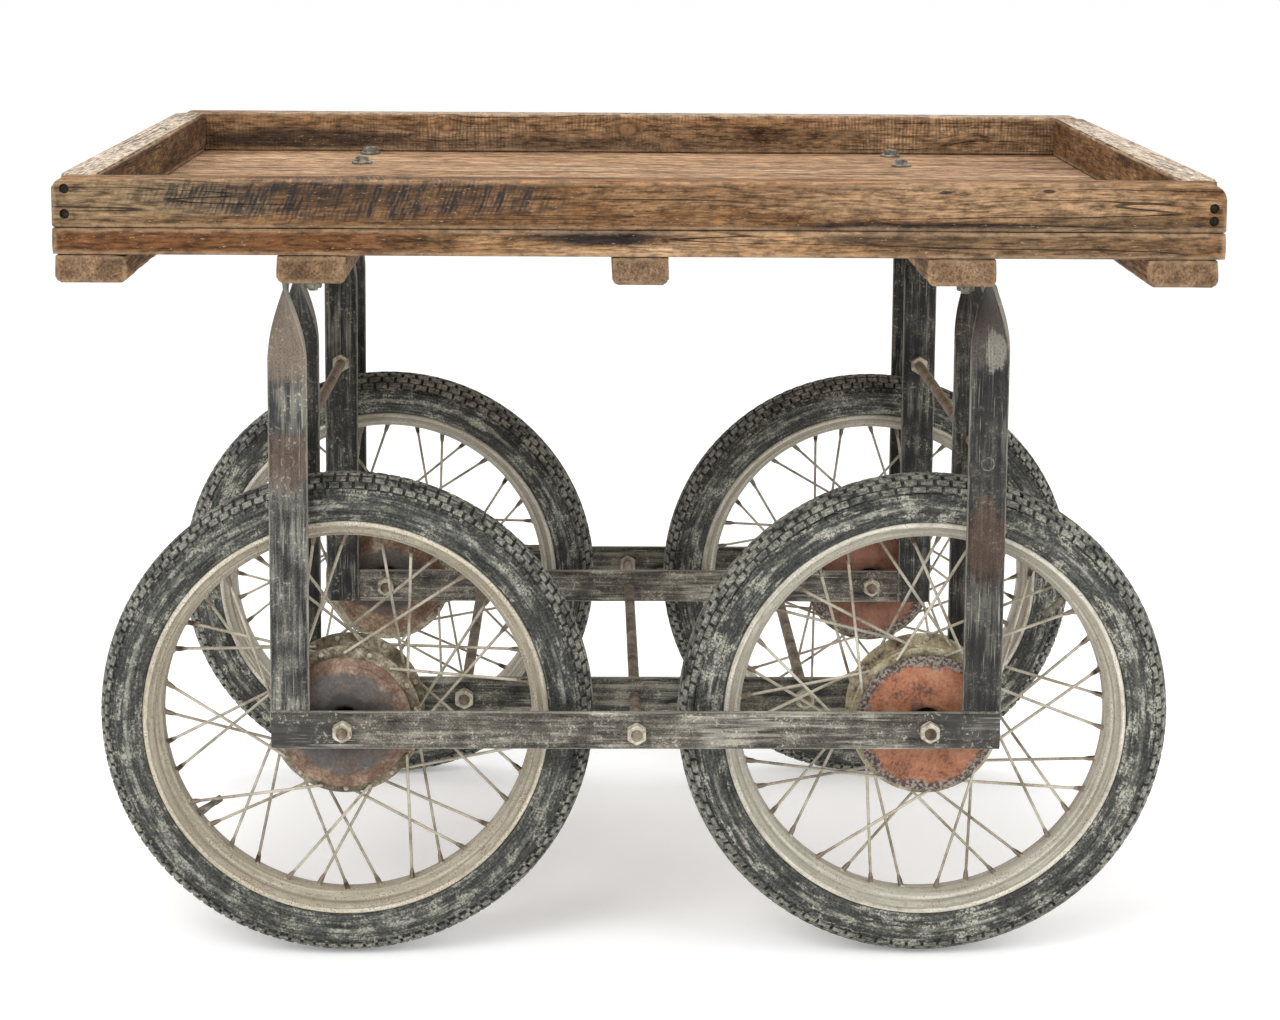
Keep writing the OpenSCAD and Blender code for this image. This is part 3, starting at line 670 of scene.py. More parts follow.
class Form:
    """A mesh in the making, in metres in the cart's own frame."""

    def __init__(self) -> None:
        """Starts with nothing."""
        self.bm = bmesh.new()

    def box(self, low: Point, high: Point) -> list[BMVert]:
        """Adds a box between two corners and returns its vertices."""
        low, high = Vector(low), Vector(high)
        matrix = Matrix.Translation((low + high) / 2) @ Matrix.Diagonal((*(high - low), 1.0))
        return bmesh.ops.create_cube(self.bm, size=1.0, matrix=matrix)["verts"]

    def edges_of(self, verts: Sequence[BMVert], keep: Callable[[BMEdge], bool]) -> list[BMEdge]:
        """The edges between some vertices that pass a test."""
        inside = set(verts)
        found = {edge for vert in verts for edge in vert.link_edges if edge.other_vert(vert) in inside}
        return [edge for edge in sorted(found, key=lambda e: e.index) if keep(edge)]

    def bevel(self, edges: Sequence[BMEdge], width: float, segments: int = 2) -> list[BMVert]:
        """Rounds some edges and returns the new vertices."""
        return bmesh.ops.bevel(
            self.bm, geom=list(edges), offset=width, offset_type="OFFSET", segments=segments, profile=0.5,
            affect="EDGES", clamp_overlap=True, material=-1,
        )["verts"]

    def sharp_edges(self, angle: float = 40.0) -> list[BMEdge]:
        """The edges where the surface turns by more than an angle in degrees."""
        limit = math.radians(angle)
        return [edge for edge in self.bm.edges if edge.is_manifold and edge.calc_face_angle(0.0) > limit]

    def round_corner(self, axis: Axis, at: Point, width: float, segments: int = 6) -> None:
        """Rounds the edge that runs along an axis through a point."""
        others = [i for i in range(3) if i != axis.value]
        edges = [
            edge for edge in self.bm.edges
            if all(abs(vert.co[i] - at[i]) < 1e-5 for vert in edge.verts for i in others)
        ]
        self.bevel(edges, width, segments)

    def slice(self, axis: Axis, step: float) -> None:
        """Cuts across the whole form at even steps along an axis."""
        values = [vert.co[axis.value] for vert in self.bm.verts]
        low, high = min(values), max(values)
        count = max(1, round((high - low) / step))
        normal = Vector((0.0, 0.0, 0.0))
        normal[axis.value] = 1.0
        for i in range(1, count):
            everything = [*self.bm.verts, *self.bm.edges, *self.bm.faces]
            plane = normal * (low + (high - low) * i / count)
            bmesh.ops.bisect_plane(self.bm, geom=everything, dist=1e-6, plane_co=plane, plane_no=normal)

    def weather(self, along: Axis, dent: float, chip: float, seed: float) -> None:
        """Wears the surface inwards by uneven amounts, most of all on its arrises.

        Args:
            along: The axis of the grain, along which wear changes slowly.
            dent: Depth of the dents in the flat faces, in metres.
            chip: Depth of the chips in the arrises, in metres.
            seed: Where in the noise to read.
        """
        self.bm.normal_update()
        moves = []
        for vert in self.bm.verts:
            place = vert.co * 24.0
            place[along.value] = vert.co[along.value] * 5.0 + seed
            wave = noise.noise(place) * 0.5 + 0.5
            ripple = noise.noise(vert.co * 70.0 + Vector((seed, seed, seed))) * 0.5 + 0.5
            bite = max(0.0, noise.noise(vert.co * 34.0 + Vector((0.0, seed, seed))) - 0.12)
            flatness = max(abs(part) for part in vert.normal)
            depth = dent * (0.15 + 0.6 * wave + 0.25 * ripple)
            if flatness < 0.97:
                depth += chip * (0.1 + 2.2 * bite + 0.3 * ripple)
            moves.append((vert, -vert.normal * depth))
        for vert, move in moves:
            vert.co += move

    def barrel(
        self,
        start: Point,
        end: Point,
        radius: float,
        end_radius: Optional[float] = None,
        sides: int = 24,
        lip: float = 0.0,
    ) -> list[BMVert]:
        """Adds a closed cylinder or cone between two points.

        Args:
            start: The middle of its first end.
            end: The middle of its other end.
            radius: Radius at the start.
            end_radius: Radius at the end, if it differs.
            sides: How many sides it has.
            lip: Width of the bevel round its ends.

        Returns:
            Its vertices, before the bevel.
        """
        start, end = Vector(start), Vector(end)
        turn = (end - start).to_track_quat("Z", "Y").to_matrix().to_4x4()
        verts = bmesh.ops.create_cone(
            self.bm, cap_ends=True, cap_tris=False, segments=sides, radius1=radius,
            radius2=radius if end_radius is None else end_radius, depth=(end - start).length,
            matrix=Matrix.Translation((start + end) / 2) @ turn,
        )["verts"]
        if lip > 0:
            self.bevel(self.edges_of(verts, lambda e: any(len(f.verts) == sides for f in e.link_faces)), lip, 2)
        return verts

    def nut(self, face: Point, direction: Point, across: float, height: float) -> None:
        """Adds a hexagon nut or bolt head that stands on a face, with its corners turned off."""
        start, way = Vector(face), Vector(direction).normalized()
        verts = self.barrel(start, start + way * height, across / math.sqrt(3), sides=6)
        bmesh.ops.bevel(
            self.bm, geom=verts, offset=across * 0.075, offset_type="OFFSET", segments=1, profile=0.5,
            affect="VERTICES", clamp_overlap=True, material=-1,
        )
        ring = start + way * height
        self.barrel(ring - way * 0.001, ring + way * 0.0006, across * 0.44, across * 0.4, sides=24)

    def lathe(self, outline: Outline, steps: int = 96) -> list[BMVert]:
        """Spins a closed outline of (radius, width) points a full turn about the Y axis."""
        verts = [self.bm.verts.new((r, y, 0.0)) for r, y in outline]
        edges = [self.bm.edges.new((a, b)) for a, b in zip(verts, [*verts[1:], verts[0]])]
        before = set(self.bm.verts) - set(verts)
        bmesh.ops.spin(
            self.bm, geom=[*verts, *edges], cent=(0, 0, 0), axis=(0, 1, 0), dvec=(0, 0, 0), angle=math.tau,
            steps=steps, use_merge=True, use_duplicate=False,
        )
        return [vert for vert in self.bm.verts if vert not in before]

    def repeat(self, verts: Sequence[BMVert], count: int) -> None:
        """Copies what some vertices make round the Y axis, so that there are count of it."""
        chosen = set(verts)
        faces = [face for face in self.bm.faces if face.verts[0] in chosen]
        edges = list({edge for face in faces for edge in face.edges})
        bmesh.ops.spin(
            self.bm, geom=[*chosen, *edges, *faces], cent=(0, 0, 0), axis=(0, 1, 0), dvec=(0, 0, 0),
            angle=math.tau * (count - 1) / count, steps=count - 1, use_merge=False, use_duplicate=True,
        )

    def cut(self, tool: "Form") -> None:
        """Takes another form away from this one."""
        objects = []
        for form in (self, tool):
            bmesh.ops.recalc_face_normals(form.bm, faces=form.bm.faces)
            mesh = bpy.data.meshes.new("cutting")
            form.bm.to_mesh(mesh)
            form.bm.free()
            thing = bpy.data.objects.new("cutting", mesh)
            bpy.context.scene.collection.objects.link(thing)
            objects.append(thing)
        body, cutter = objects
        modifier = body.modifiers.new("holes", "BOOLEAN")
        modifier.operation = "DIFFERENCE"
        modifier.solver = "EXACT"
        modifier.object = cutter
        result = body.evaluated_get(bpy.context.evaluated_depsgraph_get()).to_mesh()
        self.bm = bmesh.new()
        self.bm.from_mesh(result)
        for thing in objects:
            mesh = thing.data
            bpy.data.objects.remove(thing)
            bpy.data.meshes.remove(mesh)

    def place(self, matrix: Matrix) -> None:
        """Moves the whole form."""
        bmesh.ops.transform(self.bm, matrix=matrix, verts=self.bm.verts)

    def finish(
        self,
        name: str,
        body: str,
        material: bpy.types.Material,
        nodes: Sequence[str],
        slot: str,
        crease: float = 38.0,
    ) -> None:
        """Makes the form an object of the cart.

        Args:
            name: The piece's name.
            body: The body it rides on.
            material: Its finish.
            nodes: The solids it stands for.
            slot: Not used.
            crease: Angle in degrees above which an edge stays sharp.
        """
        bmesh.ops.remove_doubles(self.bm, verts=self.bm.verts, dist=1e-6)
        bmesh.ops.recalc_face_normals(self.bm, faces=self.bm.faces)
        mesh = bpy.data.meshes.new(name)
        self.bm.to_mesh(mesh)
        self.bm.free()
        mesh.shade_smooth()
        mesh.set_sharp_from_angle(angle=math.radians(crease))
        mesh.materials.append(material)
        piece = bpy.data.objects.new(name, mesh)
        bpy.context.scene.collection.objects.link(piece)
        if nodes:
            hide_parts(*nodes)
        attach(piece, body)
        LOG.info("%s: %d faces", name, len(mesh.polygons))


# ---- Tray -------------------------------------------------------------------------------------

DECK_PALE: Colour = (0.46, 0.3, 0.18)
STAIN: Colour = (0.062, 0.05, 0.041)
GREY_OLIVE: Colour = (0.2, 0.145, 0.085)
TAN: Colour = (0.36, 0.23, 0.13)
ORANGE_WOOD: Colour = (0.13, 0.056, 0.022)
ORANGE_RUB: Colour = (0.36, 0.16, 0.06)
SCORCH: Colour = (0.028, 0.02, 0.017)
# Pale tops of the boards: partly sun-bleached wood, partly painted light where light from above falls on the top
# faces
BLEACH_AND_TOP_LIGHT: Colour = (0.54, 0.46, 0.37)


@dataclass
class Tray:
    """The wooden tray: four rim boards, four floor planks, five crossbeams, and what fixes them."""

    half_length: float = 0.580
    half_width: float = 0.3875
    top: float = 0.840
    deck: float = 0.791
    tab: float = 0.731
    board_arris: float = 0.002
    beam_round: float = 0.006
    front_corners: tuple[float, float] = (0.009, 0.016)
    screw_hole: float = 0.005
    screw_head: float = 0.0046
    bolt_across: float = 0.0155
    bolt_head: float = 0.0055
    bolt_r: float = 0.005
    bolt_past_tab: float = 0.011
    tab_nut: float = 0.017
    tab_nut_high: float = 0.008
    washer: float = 0.0125
    washer_thick: float = 0.0025
    bolt_x: float = 0.331
    bolt_ys: tuple[float, ...] = (-0.325, -0.212, 0.212, 0.325)
    screw_inset: float = 0.013
    screw_depths: tuple[tuple[float, float], ...] = ((0.0105, 0.0355), (0.0245, 0.0372))
    timbers: dict[str, Timber] = field(default_factory=dict)

    def build(self) -> None:
        """Builds and dresses the tray."""
        self.choose_timbers()
        self.build_long_board("rim_board_front", -1)
        self.build_long_board("rim_board_back", 1)
        for node in ("rim_board_left", "rim_board_right"):
            self.build_board(node, Axis.Y, "rim_wood", 0.001, 0.005)
        for i in range(1, 5):
            self.build_board(f"floor_plank_{i}", Axis.X, "floor_wood", 0.0007, 0.0016)
        for i in range(1, 6):
            self.build_beam(f"crossbeam_{i}")
        self.build_bolts()
        self.build_screws()

    def wood(self, node: str, along: Axis, seed: float, **changes: object) -> None:
        """Notes the timber of one board, whose box is its solid's."""
        low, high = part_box(node)
        self.timbers[node] = Timber(f"wood_{node}", tuple(low), tuple(high), along, seed, **changes)

    def choose_timbers(self) -> None:
        """Picks each board's tone, stains and knots, and the pale tops that are partly painted light."""
        front = -self.half_width
        self.wood(
            "rim_board_front", Axis.X, 3.1, saw=0.15,
            saw_span=Patch((-0.27, front, 0.824), (0.24, 0.05, 0.03), STAIN, 0.85, 1.1),
            patches=(
                Patch((-0.5, front, 0.82), (0.16, 0.05, 0.04), GREY_OLIVE, 0.75),
                Patch((0.33, front, 0.822), (0.28, 0.05, 0.028), TAN, 0.75),
                Patch((0.08, front, 0.828), (0.14, 0.05, 0.02), (0.2, 0.115, 0.06), 0.6),
                Patch((0.3, front, 0.794), (0.22, 0.05, 0.009), SCORCH, 0.9, 1.0),
                Patch((0.48, front, 0.798), (0.14, 0.05, 0.012), (0.12, 0.08, 0.045), 0.7),
                Patch((-0.2, front, 0.797), (0.42, 0.05, 0.01), (0.17, 0.09, 0.042), 0.6),
                Patch((-0.1, front, 0.84), (0.9, 0.02, 0.0035), ORANGE_RUB, 0.75),
                Patch((0.3, front, 0.83), (0.009, 0.03, 0.0022), SCORCH, 0.9),
                Patch((0.402, front, 0.832), (0.008, 0.03, 0.0025), SCORCH, 0.9),
                Patch((0.39, front, 0.795), (0.011, 0.03, 0.0028), SCORCH, 0.9),
            ),
        )
        self.wood(
            "rim_board_back", Axis.X, 11.7, saw=1.1, saw_lean=0.0,
            body=(0.28, 0.17, 0.092), pale=(0.44, 0.295, 0.175),
            knots=(Knot(-0.004, 0.821, 0.012), Knot(-0.235, 0.822, 0.009)),
            patches=(
                # Pale top face: partly bleached, partly painted light from above
                Patch((0.2, 0.36, 0.84), (0.9, 0.06, 0.004), BLEACH_AND_TOP_LIGHT, 0.5),
                Patch((0.0, 0.35, 0.832), (0.8, 0.06, 0.008), (0.29, 0.165, 0.08), 0.7),
                Patch((-0.42, 0.35, 0.806), (0.17, 0.06, 0.018), (0.05, 0.034, 0.024), 0.9),
                Patch((-0.1, 0.35, 0.8), (0.3, 0.06, 0.014), (0.09, 0.06, 0.04), 0.6),
            ),
        )
        # Pale top faces of the side boards: partly bleached, partly painted light from above
        left_top_bleach_and_light = (Patch((-0.562, -0.05, 0.84), (0.05, 0.5, 0.006), BLEACH_AND_TOP_LIGHT, 0.85, 0.9),)
        right_top_bleach_and_light = (Patch((0.562, -0.05, 0.84), (0.05, 0.5, 0.006), BLEACH_AND_TOP_LIGHT, 0.85, 0.9),)
        self.wood(
            "rim_board_left", Axis.Y, 19.3, saw=0.35, patches=left_top_bleach_and_light,
            body=(0.11, 0.058, 0.027), pale=(0.2, 0.12, 0.06),
        )
        self.wood("rim_board_right", Axis.Y, 23.9, saw=0.3, patches=right_top_bleach_and_light)
        self.wood(
            "floor_plank_1", Axis.X, 31.2, saw=0.1, body=(0.25, 0.14, 0.068), pale=(0.38, 0.235, 0.13),
            patches=(
                Patch((-0.04, front, 0.785), (0.1, 0.06, 0.013), SCORCH, 1.0, 1.6),
                Patch((-0.43, front, 0.777), (0.26, 0.04, 0.034), ORANGE_WOOD, 0.95),
                Patch((0.26, front, 0.783), (0.1, 0.05, 0.01), SCORCH, 0.8),
                Patch((0.4, front, 0.777), (0.22, 0.05, 0.024), (0.12, 0.074, 0.04), 0.75),
            ),
        )
        deck = {
            "saw": 0.1, "dark": (0.12, 0.068, 0.035), "body": (0.33, 0.2, 0.115),
            "pale": DECK_PALE, "bright": (0.64, 0.47, 0.32),
        }
        for i, seed in ((2, 37.1), (3, 41.9), (4, 47.3)):
            self.wood(f"floor_plank_{i}", Axis.X, seed, **deck)
        for i, seed in enumerate((53.1, 57.7, 61.3, 67.9, 71.1), start=1):
            self.wood(
                f"crossbeam_{i}", Axis.Y, seed, saw=0.12,
                dark=(0.08, 0.045, 0.024), body=(0.23, 0.135, 0.072), pale=(0.36, 0.235, 0.14),
            )

    def finish(self, form: Form, node: str, slot: str) -> None:
        """Makes one board an object."""
        name = node.replace("rim_board", "board").replace("crossbeam", "beam") + "_wood"
        form.finish(name, "frame", self.timbers[node].material(), [node], slot, crease=50.0)

    def build_board(self, node: str, along: Axis, slot: str, dent: float, chip: float) -> None:
        """Builds a plain weathered board in the place of its solid."""
        timber = self.timbers[node]
        form = Form()
        form.box(timber.low, timber.high)
        form.bevel(form.sharp_edges(), self.board_arris * 0.7, 2)
        self.cut_into_cells(form, along, 0.014)
        form.weather(along, dent, chip, timber.seed)
        self.finish(form, node, slot)

    def cut_into_cells(self, form: Form, along: Axis, step: float) -> None:
        """Cuts a board into cells that the weathering can move."""
        form.slice(along, step)
        form.slice(Axis.Y if along is Axis.X else Axis.X, step * 0.9)
        form.slice(Axis.Z, step * 0.75)

    def build_long_board(self, node: str, side: int) -> None:
        """Builds the front or back rim board, with its rounded top corners and its sunk screw holes."""
        timber = self.timbers[node]
        low, high = timber.low, timber.high
        form = Form()
        form.box(low, high)
        left, right = self.front_corners if side < 0 else self.front_corners[::-1]
        form.round_corner(Axis.Y, (low[0], 0.0, high[2]), left)
        form.round_corner(Axis.Y, (high[0], 0.0, high[2]), right)
        form.bevel(form.sharp_edges(), self.board_arris, 3)
        self.cut_into_cells(form, Axis.X, 0.012)
        form.weather(Axis.X, 0.0009, 0.0022, timber.seed)
        holes = Form()
        for x, z in self.screw_places(side):
            face = side * self.half_width
            holes.barrel((x, face + side * 0.002, z), (x, face - side * 0.010, z), self.screw_hole, sides=20)
        form.cut(holes)
        self.finish(form, node, "rim_wood")

    def screw_places(self, side: int) -> list[tuple[float, float]]:
        """Where the screws of the front (-1) or back (1) board are, along X and in height."""
        places = []
        for end, depths in zip((-1, 1), self.screw_depths):
            for depth in depths:
                places.append((-side * end * (self.half_length - self.screw_inset), self.top - depth))
        return places

    def build_beam(self, node: str) -> None:
        """Builds a crossbeam with rounded lower edges."""
        timber = self.timbers[node]
        low, high = timber.low, timber.high
        form = Form()
        form.box(low, high)
        form.round_corner(Axis.Y, (low[0], 0.0, low[2]), self.beam_round, 4)
        form.round_corner(Axis.Y, (high[0], 0.0, low[2]), self.beam_round, 4)
        form.bevel(form.sharp_edges(), 0.0014, 2)
        self.cut_into_cells(form, Axis.Y, 0.016)
        form.weather(Axis.Y, 0.0008, 0.002, timber.seed)
        self.finish(form, node, "beam_wood")

    def build_bolts(self) -> None:
        """Builds the eight floor bolts with their washers and nuts."""
        form = Form()
        for side in (-1, 1):
            for i, y in enumerate(self.bolt_ys):
                x = side * self.bolt_x
                seat = self.deck + self.washer_thick
                form.barrel((x, y, self.deck), (x, y, seat), self.washer, sides=32, lip=0.0006)
                before = set(form.bm.verts)
                form.nut((x, y, seat), (0, 0, 1), self.bolt_across, self.bolt_head)
                head = [vert for vert in form.bm.verts if vert not in before]
                turned = Matrix.Rotation(0.5 * i + side, 3, "Z")
                bmesh.ops.rotate(form.bm, verts=head, cent=(x, y, 0), matrix=turned)
                foot = self.tab - self.bolt_past_tab
                form.barrel((x, y, foot), (x, y, self.deck), self.bolt_r, sides=16, lip=0.0008)
                form.nut((x, y, self.tab), (0, 0, -1), self.tab_nut, self.tab_nut_high)
        finish = Rust(
            "steel_floor_bolts", (0.06, 0.056, 0.048), (0.2, 0.19, 0.155), (0.46, 0.44, 0.36),
            scale=110.0, metallic=0.5,
        )
        form.finish("floor_bolts_steel", "frame", finish.material(), ["floor_bolts"], "fastener_steel", 30.0)

    def build_screws(self) -> None:
        """Builds the sunk screws in the front and back boards."""
        form = Form()
        for side in (-1, 1):
            for x, z in self.screw_places(side):
                face = side * (self.half_width - 0.0052)
                form.barrel((x, face, z), (x, face - side * 0.004, z), self.screw_head, sides=20, lip=0.0006)
        finish = Rust(
            "steel_rim_screws", (0.015, 0.013, 0.011), (0.035, 0.028, 0.022), (0.08, 0.06, 0.045), scale=220.0
        )
        form.finish("rim_screws_steel", "frame", finish.material(), ["rim_screws"], "fastener_steel", 30.0)


# ---- Steel frame ------------------------------------------------------------------------------


@dataclass
class SteelFrame:
    """Legs, bottom bars, cross rods, axles and nuts."""

    width: float = 0.040
    thick: float = 0.005
    leg_x: float = 0.358
    outer_y: float = 0.325
    inner_y: float = 0.212
    top: float = 0.736
    twist: float = 0.082
    bend: float = 0.006
    tab: float = 0.042
    axle_x: float = 0.304
    axle_z: float = 0.260
    tie_x: float = 0.184
    tie_z: float = 0.258
    upper_z: float = 0.543
    rod: float = 0.006
    nut_across: float = 0.019
    nut_high: float = 0.009
    seam_bead: float = 0.0021
    ring_weld: float = 0.0068
    ring_bead: float = 0.0012

    def build(self) -> None:
        """Builds and dresses the frame."""
        rows = {
            "near_outer": -self.outer_y, "near_inner": -self.inner_y,
            "far_inner": self.inner_y, "far_outer": self.outer_y,
        }
        for row, y in rows.items():
            for place, side in (("left", -1), ("right", 1)):
                self.build_leg(f"leg_{row}_{place}", side, y)
        self.build_bars()
        self.build_rods()
        self.build_axles()
        self.build_nuts()
        self.build_welds()

    def build_bars(self) -> None:
        """Picks the bottom bars' finishes and builds all four."""
        ends = tuple(
            Patch((x, -self.outer_y, self.axle_z), (0.07, 0.03, 0.04), (0.035, 0.034, 0.033), 0.85, 0.6)
            for x in (-0.35, 0.35)
        )
        chalky = BarSteel(
            "steel_near_bars", dark=(0.018, 0.016, 0.014), body=(0.1, 0.09, 0.075), worn=(0.36, 0.33, 0.27),
            chalk=(0.52, 0.5, 0.42), chalkiness=0.9, scratches=0.8, patches=ends, seed=5.0,
        ).material()
        darker = BarSteel(
            "steel_inner_bars", dark=(0.012, 0.012, 0.011), body=(0.09, 0.085, 0.07), worn=(0.36, 0.34, 0.275),
            chalkiness=0.8, scratches=0.6, seed=9.0,
        ).material()
        finishes = {"near_outer": chalky, "near_inner": darker, "far_inner": chalky, "far_outer": darker}
        for row, finish in finishes.items():
            self.build_bar(f"bar_{row}", finish)

    def leg_steel(self, node: str, side: int, y: float) -> BarSteel:
        """Picks the tones and stains of one leg, and a painted highlight on the near outer left leg's twist."""
        x, face = side * self.leg_x, y - self.thick / 2
        if node == "leg_near_outer_left":
            patches = (
                # The first patch is a pale brown pool on the twist: partly the steel's brown tone, partly a painted
                # highlight where light falls; below it darker steel, then brown rust
                Patch((x, face, 0.67), (0.04, 0.03, 0.06), (0.23, 0.175, 0.13), 0.8, 0.6),
                Patch((x, face, 0.6), (0.04, 0.03, 0.035), (0.035, 0.036, 0.038), 0.7, 0.7),
                Patch((x, face, 0.545), (0.04, 0.03, 0.035), (0.13, 0.075, 0.047), 0.6, 0.8),
            )
            return BarSteel(
                f"steel_{node}", body=(0.07, 0.069, 0.062), worn=(0.24, 0.23, 0.195), chalkiness=0.7,
                patches=patches, seed=1.0,
            )
        if node == "leg_near_outer_right":
            patches = (
                Patch((x, face, 0.68), (0.04, 0.03, 0.05), (0.11, 0.088, 0.075), 0.7, 0.6),
                Patch((x + 0.006, face, 0.66), (0.011, 0.03, 0.03), (0.34, 0.33, 0.28), 0.55, 1.4),
                Patch((x, face, 0.46), (0.03, 0.03, 0.05), (0.11, 0.062, 0.04), 0.6, 0.8),
            )
            return BarSteel(
                f"steel_{node}", body=(0.03, 0.029, 0.027), worn=(0.1, 0.093, 0.08), chalkiness=0.28,
                patches=patches, seed=2.0,
            )
        if y > 0:
            return BarSteel(
                f"steel_{node}", body=(0.028, 0.028, 0.026), worn=(0.12, 0.115, 0.095), chalkiness=0.6,
                seed=30.0 * y + side,
            )
        return BarSteel(
            f"steel_{node}", body=(0.03, 0.028, 0.025), worn=(0.12, 0.105, 0.085), chalkiness=0.4,
            seed=20.0 * y + side,
        )

    def note_lay(self, form: Form, length: Axis, across: Axis, middle: float) -> None:
        """Stores each vertex's place along and across the flat bar before it is bent."""
        layer = form.bm.verts.layers.float_vector.new("lay")
        for vert in form.bm.verts:
            vert[layer] = Vector((vert.co[length.value], vert.co[across.value] - middle, 0.0))

    def build_leg(self, node: str, side: int, y: float) -> None:
        """Builds one leg: a flat bar twisted a quarter turn and bent over into a bolted tab."""
        outer = abs(y) > 0.3
        foot = self.axle_z + (self.width / 2 if outer else -self.width / 2)
        turn_over = self.top - self.thick / 2 - self.bend
        straight = turn_over - self.twist
        arc = self.bend * math.pi / 2
        length = turn_over + arc + self.tab
        half, flat = self.width / 2, self.thick / 2
        form = Form()
        form.box((-half, -flat, foot), (half, flat, length))
        form.bevel(form.sharp_edges(), 0.0009, 2)
        form.slice(Axis.Z, 0.0045)
        form.slice(Axis.X, 0.010)
        self.note_lay(form, Axis.Z, Axis.X, 0.0)
        seed = 10.0 * y + side * 3.0
        for vert in form.bm.verts:
            u, v, s = vert.co
            ripple = noise.noise(Vector((u * 30.0, v * 30.0 + seed, s * 22.0))) * 0.0004
            v -= math.copysign(abs(ripple), v)
            if s <= straight:
                place = Vector((u, v, s))
            elif s <= turn_over:
                a = math.radians(90.0) * (s - straight) / self.twist
                place = Vector((u * math.cos(a) + v * math.sin(a), -u * math.sin(a) + v * math.cos(a), s))
            else:
                b = min((s - turn_over) / self.bend, math.pi / 2)
                run = max(0.0, s - turn_over - arc)
                reach = self.bend * (1 - math.cos(b)) + run
                rise = turn_over + self.bend * math.sin(b) + side * v * math.sin(b)
                place = Vector((-side * reach + v * math.cos(b), -u, rise))
            vert.co = place + Vector((side * self.leg_x, y, 0.0))
        form.finish(f"{node}_bar", "frame", self.leg_steel(node, side, y).material(), [node], "leg_steel", 45.0)

    def build_bar(self, node: str, finish: bpy.types.Material) -> None:
        """Builds one bottom bar, a little uneven along its length."""
        low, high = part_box(node)
        form = Form()
        form.box(low, high)
        form.bevel(form.sharp_edges(), 0.0009, 2)
        form.slice(Axis.X, 0.009)
        form.slice(Axis.Z, 0.008)
        self.note_lay(form, Axis.X, Axis.Z, self.axle_z)
        form.weather(Axis.X, 0.0004, 0.0007, low[1] * 40.0)
        form.finish(f"{node}_steel", "frame", finish, [node], "bar_steel", 45.0)

    def build_rods(self) -> None:
        """Builds the upper cross rods and the lower tie rods."""
        upper = Form()
        reach = self.outer_y + self.thick / 2 - 0.0008
        for side in (-1, 1):
            x = side * self.leg_x
            upper.barrel((x, -reach, self.upper_z), (x, reach, self.upper_z), self.rod, sides=20, lip=0.001)
        finish = Rust(
            "steel_upper_rods", (0.1, 0.065, 0.04), (0.24, 0.19, 0.13), (0.36, 0.31, 0.24), scale=55.0, metallic=0.35
        )
        upper.finish("upper_rods_steel", "frame", finish.material(), ["upper_rods"], "rusty_steel", 30.0)
        lower = Form()
        z = self.tie_z
        end = self.outer_y + self.thick / 2 + self.nut_high + 0.004
        lower.barrel((0, -end, z), (0, end, z), self.rod, sides=20, lip=0.0015)
        end = self.inner_y + self.thick / 2 + self.nut_high + 0.003
        for side in (-1, 1):
            x = side * self.tie_x
            lower.barrel((x, -end, z), (x, end, z), self.rod, sides=20, lip=0.0015)
        finish = Rust(
            "steel_tie_rods", (0.07, 0.05, 0.035), (0.2, 0.165, 0.12), (0.36, 0.32, 0.25),
            scale=48.0, metallic=0.35, seed=2.0,
        )
        lower.finish("tie_rods_steel", "frame", finish.material(), ["lower_tie_rods"], "rusty_steel", 30.0)

    def build_axles(self) -> None:
        """Builds the four wheel axles and the spacers on them."""
        axles, spacers = Form(), Form()
        middle = (self.outer_y + self.inner_y) / 2
        face = (self.outer_y - self.inner_y) / 2 - self.thick / 2
        reach = face + self.thick + self.nut_high + 0.005
        for side in (-1, 1):
            for row in (-1, 1):
                x, y = side * self.axle_x, row * middle
                axles.barrel((x, y - reach, self.axle_z), (x, y + reach, self.axle_z), self.rod, sides=24, lip=0.0016)
                for a, b in ((-face, -0.0143), (0.0403, face)):
                    spacers.barrel((x, y + a, self.axle_z), (x, y + b, self.axle_z), 0.0085, sides=24, lip=0.0008)
                cone = (x, y - face, self.axle_z), (x, y - face + 0.012, self.axle_z)
                spacers.barrel(*cone, 0.0125, 0.0095, sides=24, lip=0.001)
        rust = Rust(
            "steel_axles", (0.05, 0.035, 0.025), (0.15, 0.105, 0.07), (0.34, 0.29, 0.22),
            scale=80.0, metallic=0.3, seed=4.0,
        )
        axles.finish("axles_steel", "frame", rust.material(), ["axles"], "rusty_steel", 30.0)
        brass = Rust(
            "steel_spacers", (0.08, 0.05, 0.026), (0.3, 0.2, 0.1), (0.45, 0.38, 0.26),
            scale=90.0, metallic=0.5, seed=6.0,
        )
        spacers.finish("axle_spacers_steel", "frame", brass.material(), ["axle_spacers"], "fastener_steel", 30.0)

    def build_nuts(self) -> None:
        """Builds the nuts on the axles and rods."""
        form = Form()
        outer = self.outer_y + self.thick / 2
        inner = self.inner_y - self.thick / 2
        size, high = self.nut_across, self.nut_high
        for s in (-1, 1):
            for side in (-1, 1):
                form.nut((side * self.axle_x, s * outer, self.axle_z), (0, s, 0), size, high)
                form.nut((side * self.axle_x, s * inner, self.axle_z), (0, -s, 0), size, high)
                form.nut((side * self.tie_x, s * (inner + self.thick), self.tie_z), (0, s, 0), size, high)
                form.nut((side * self.leg_x, s * inner, self.upper_z), (0, -s, 0), size, high)
            form.nut((0, s * outer, self.tie_z), (0, s, 0), size, high)
            form.nut((0, s * (outer - self.thick), self.tie_z), (0, -s, 0), size, high)
        finish = Rust(
            "steel_nuts", (0.16, 0.13, 0.09), (0.48, 0.44, 0.34), (0.78, 0.74, 0.62),
            scale=120.0, metallic=0.2, seed=8.0,
        )
        form.finish("frame_nuts_steel", "frame", finish.material(), ["frame_nuts"], "fastener_steel", 30.0)

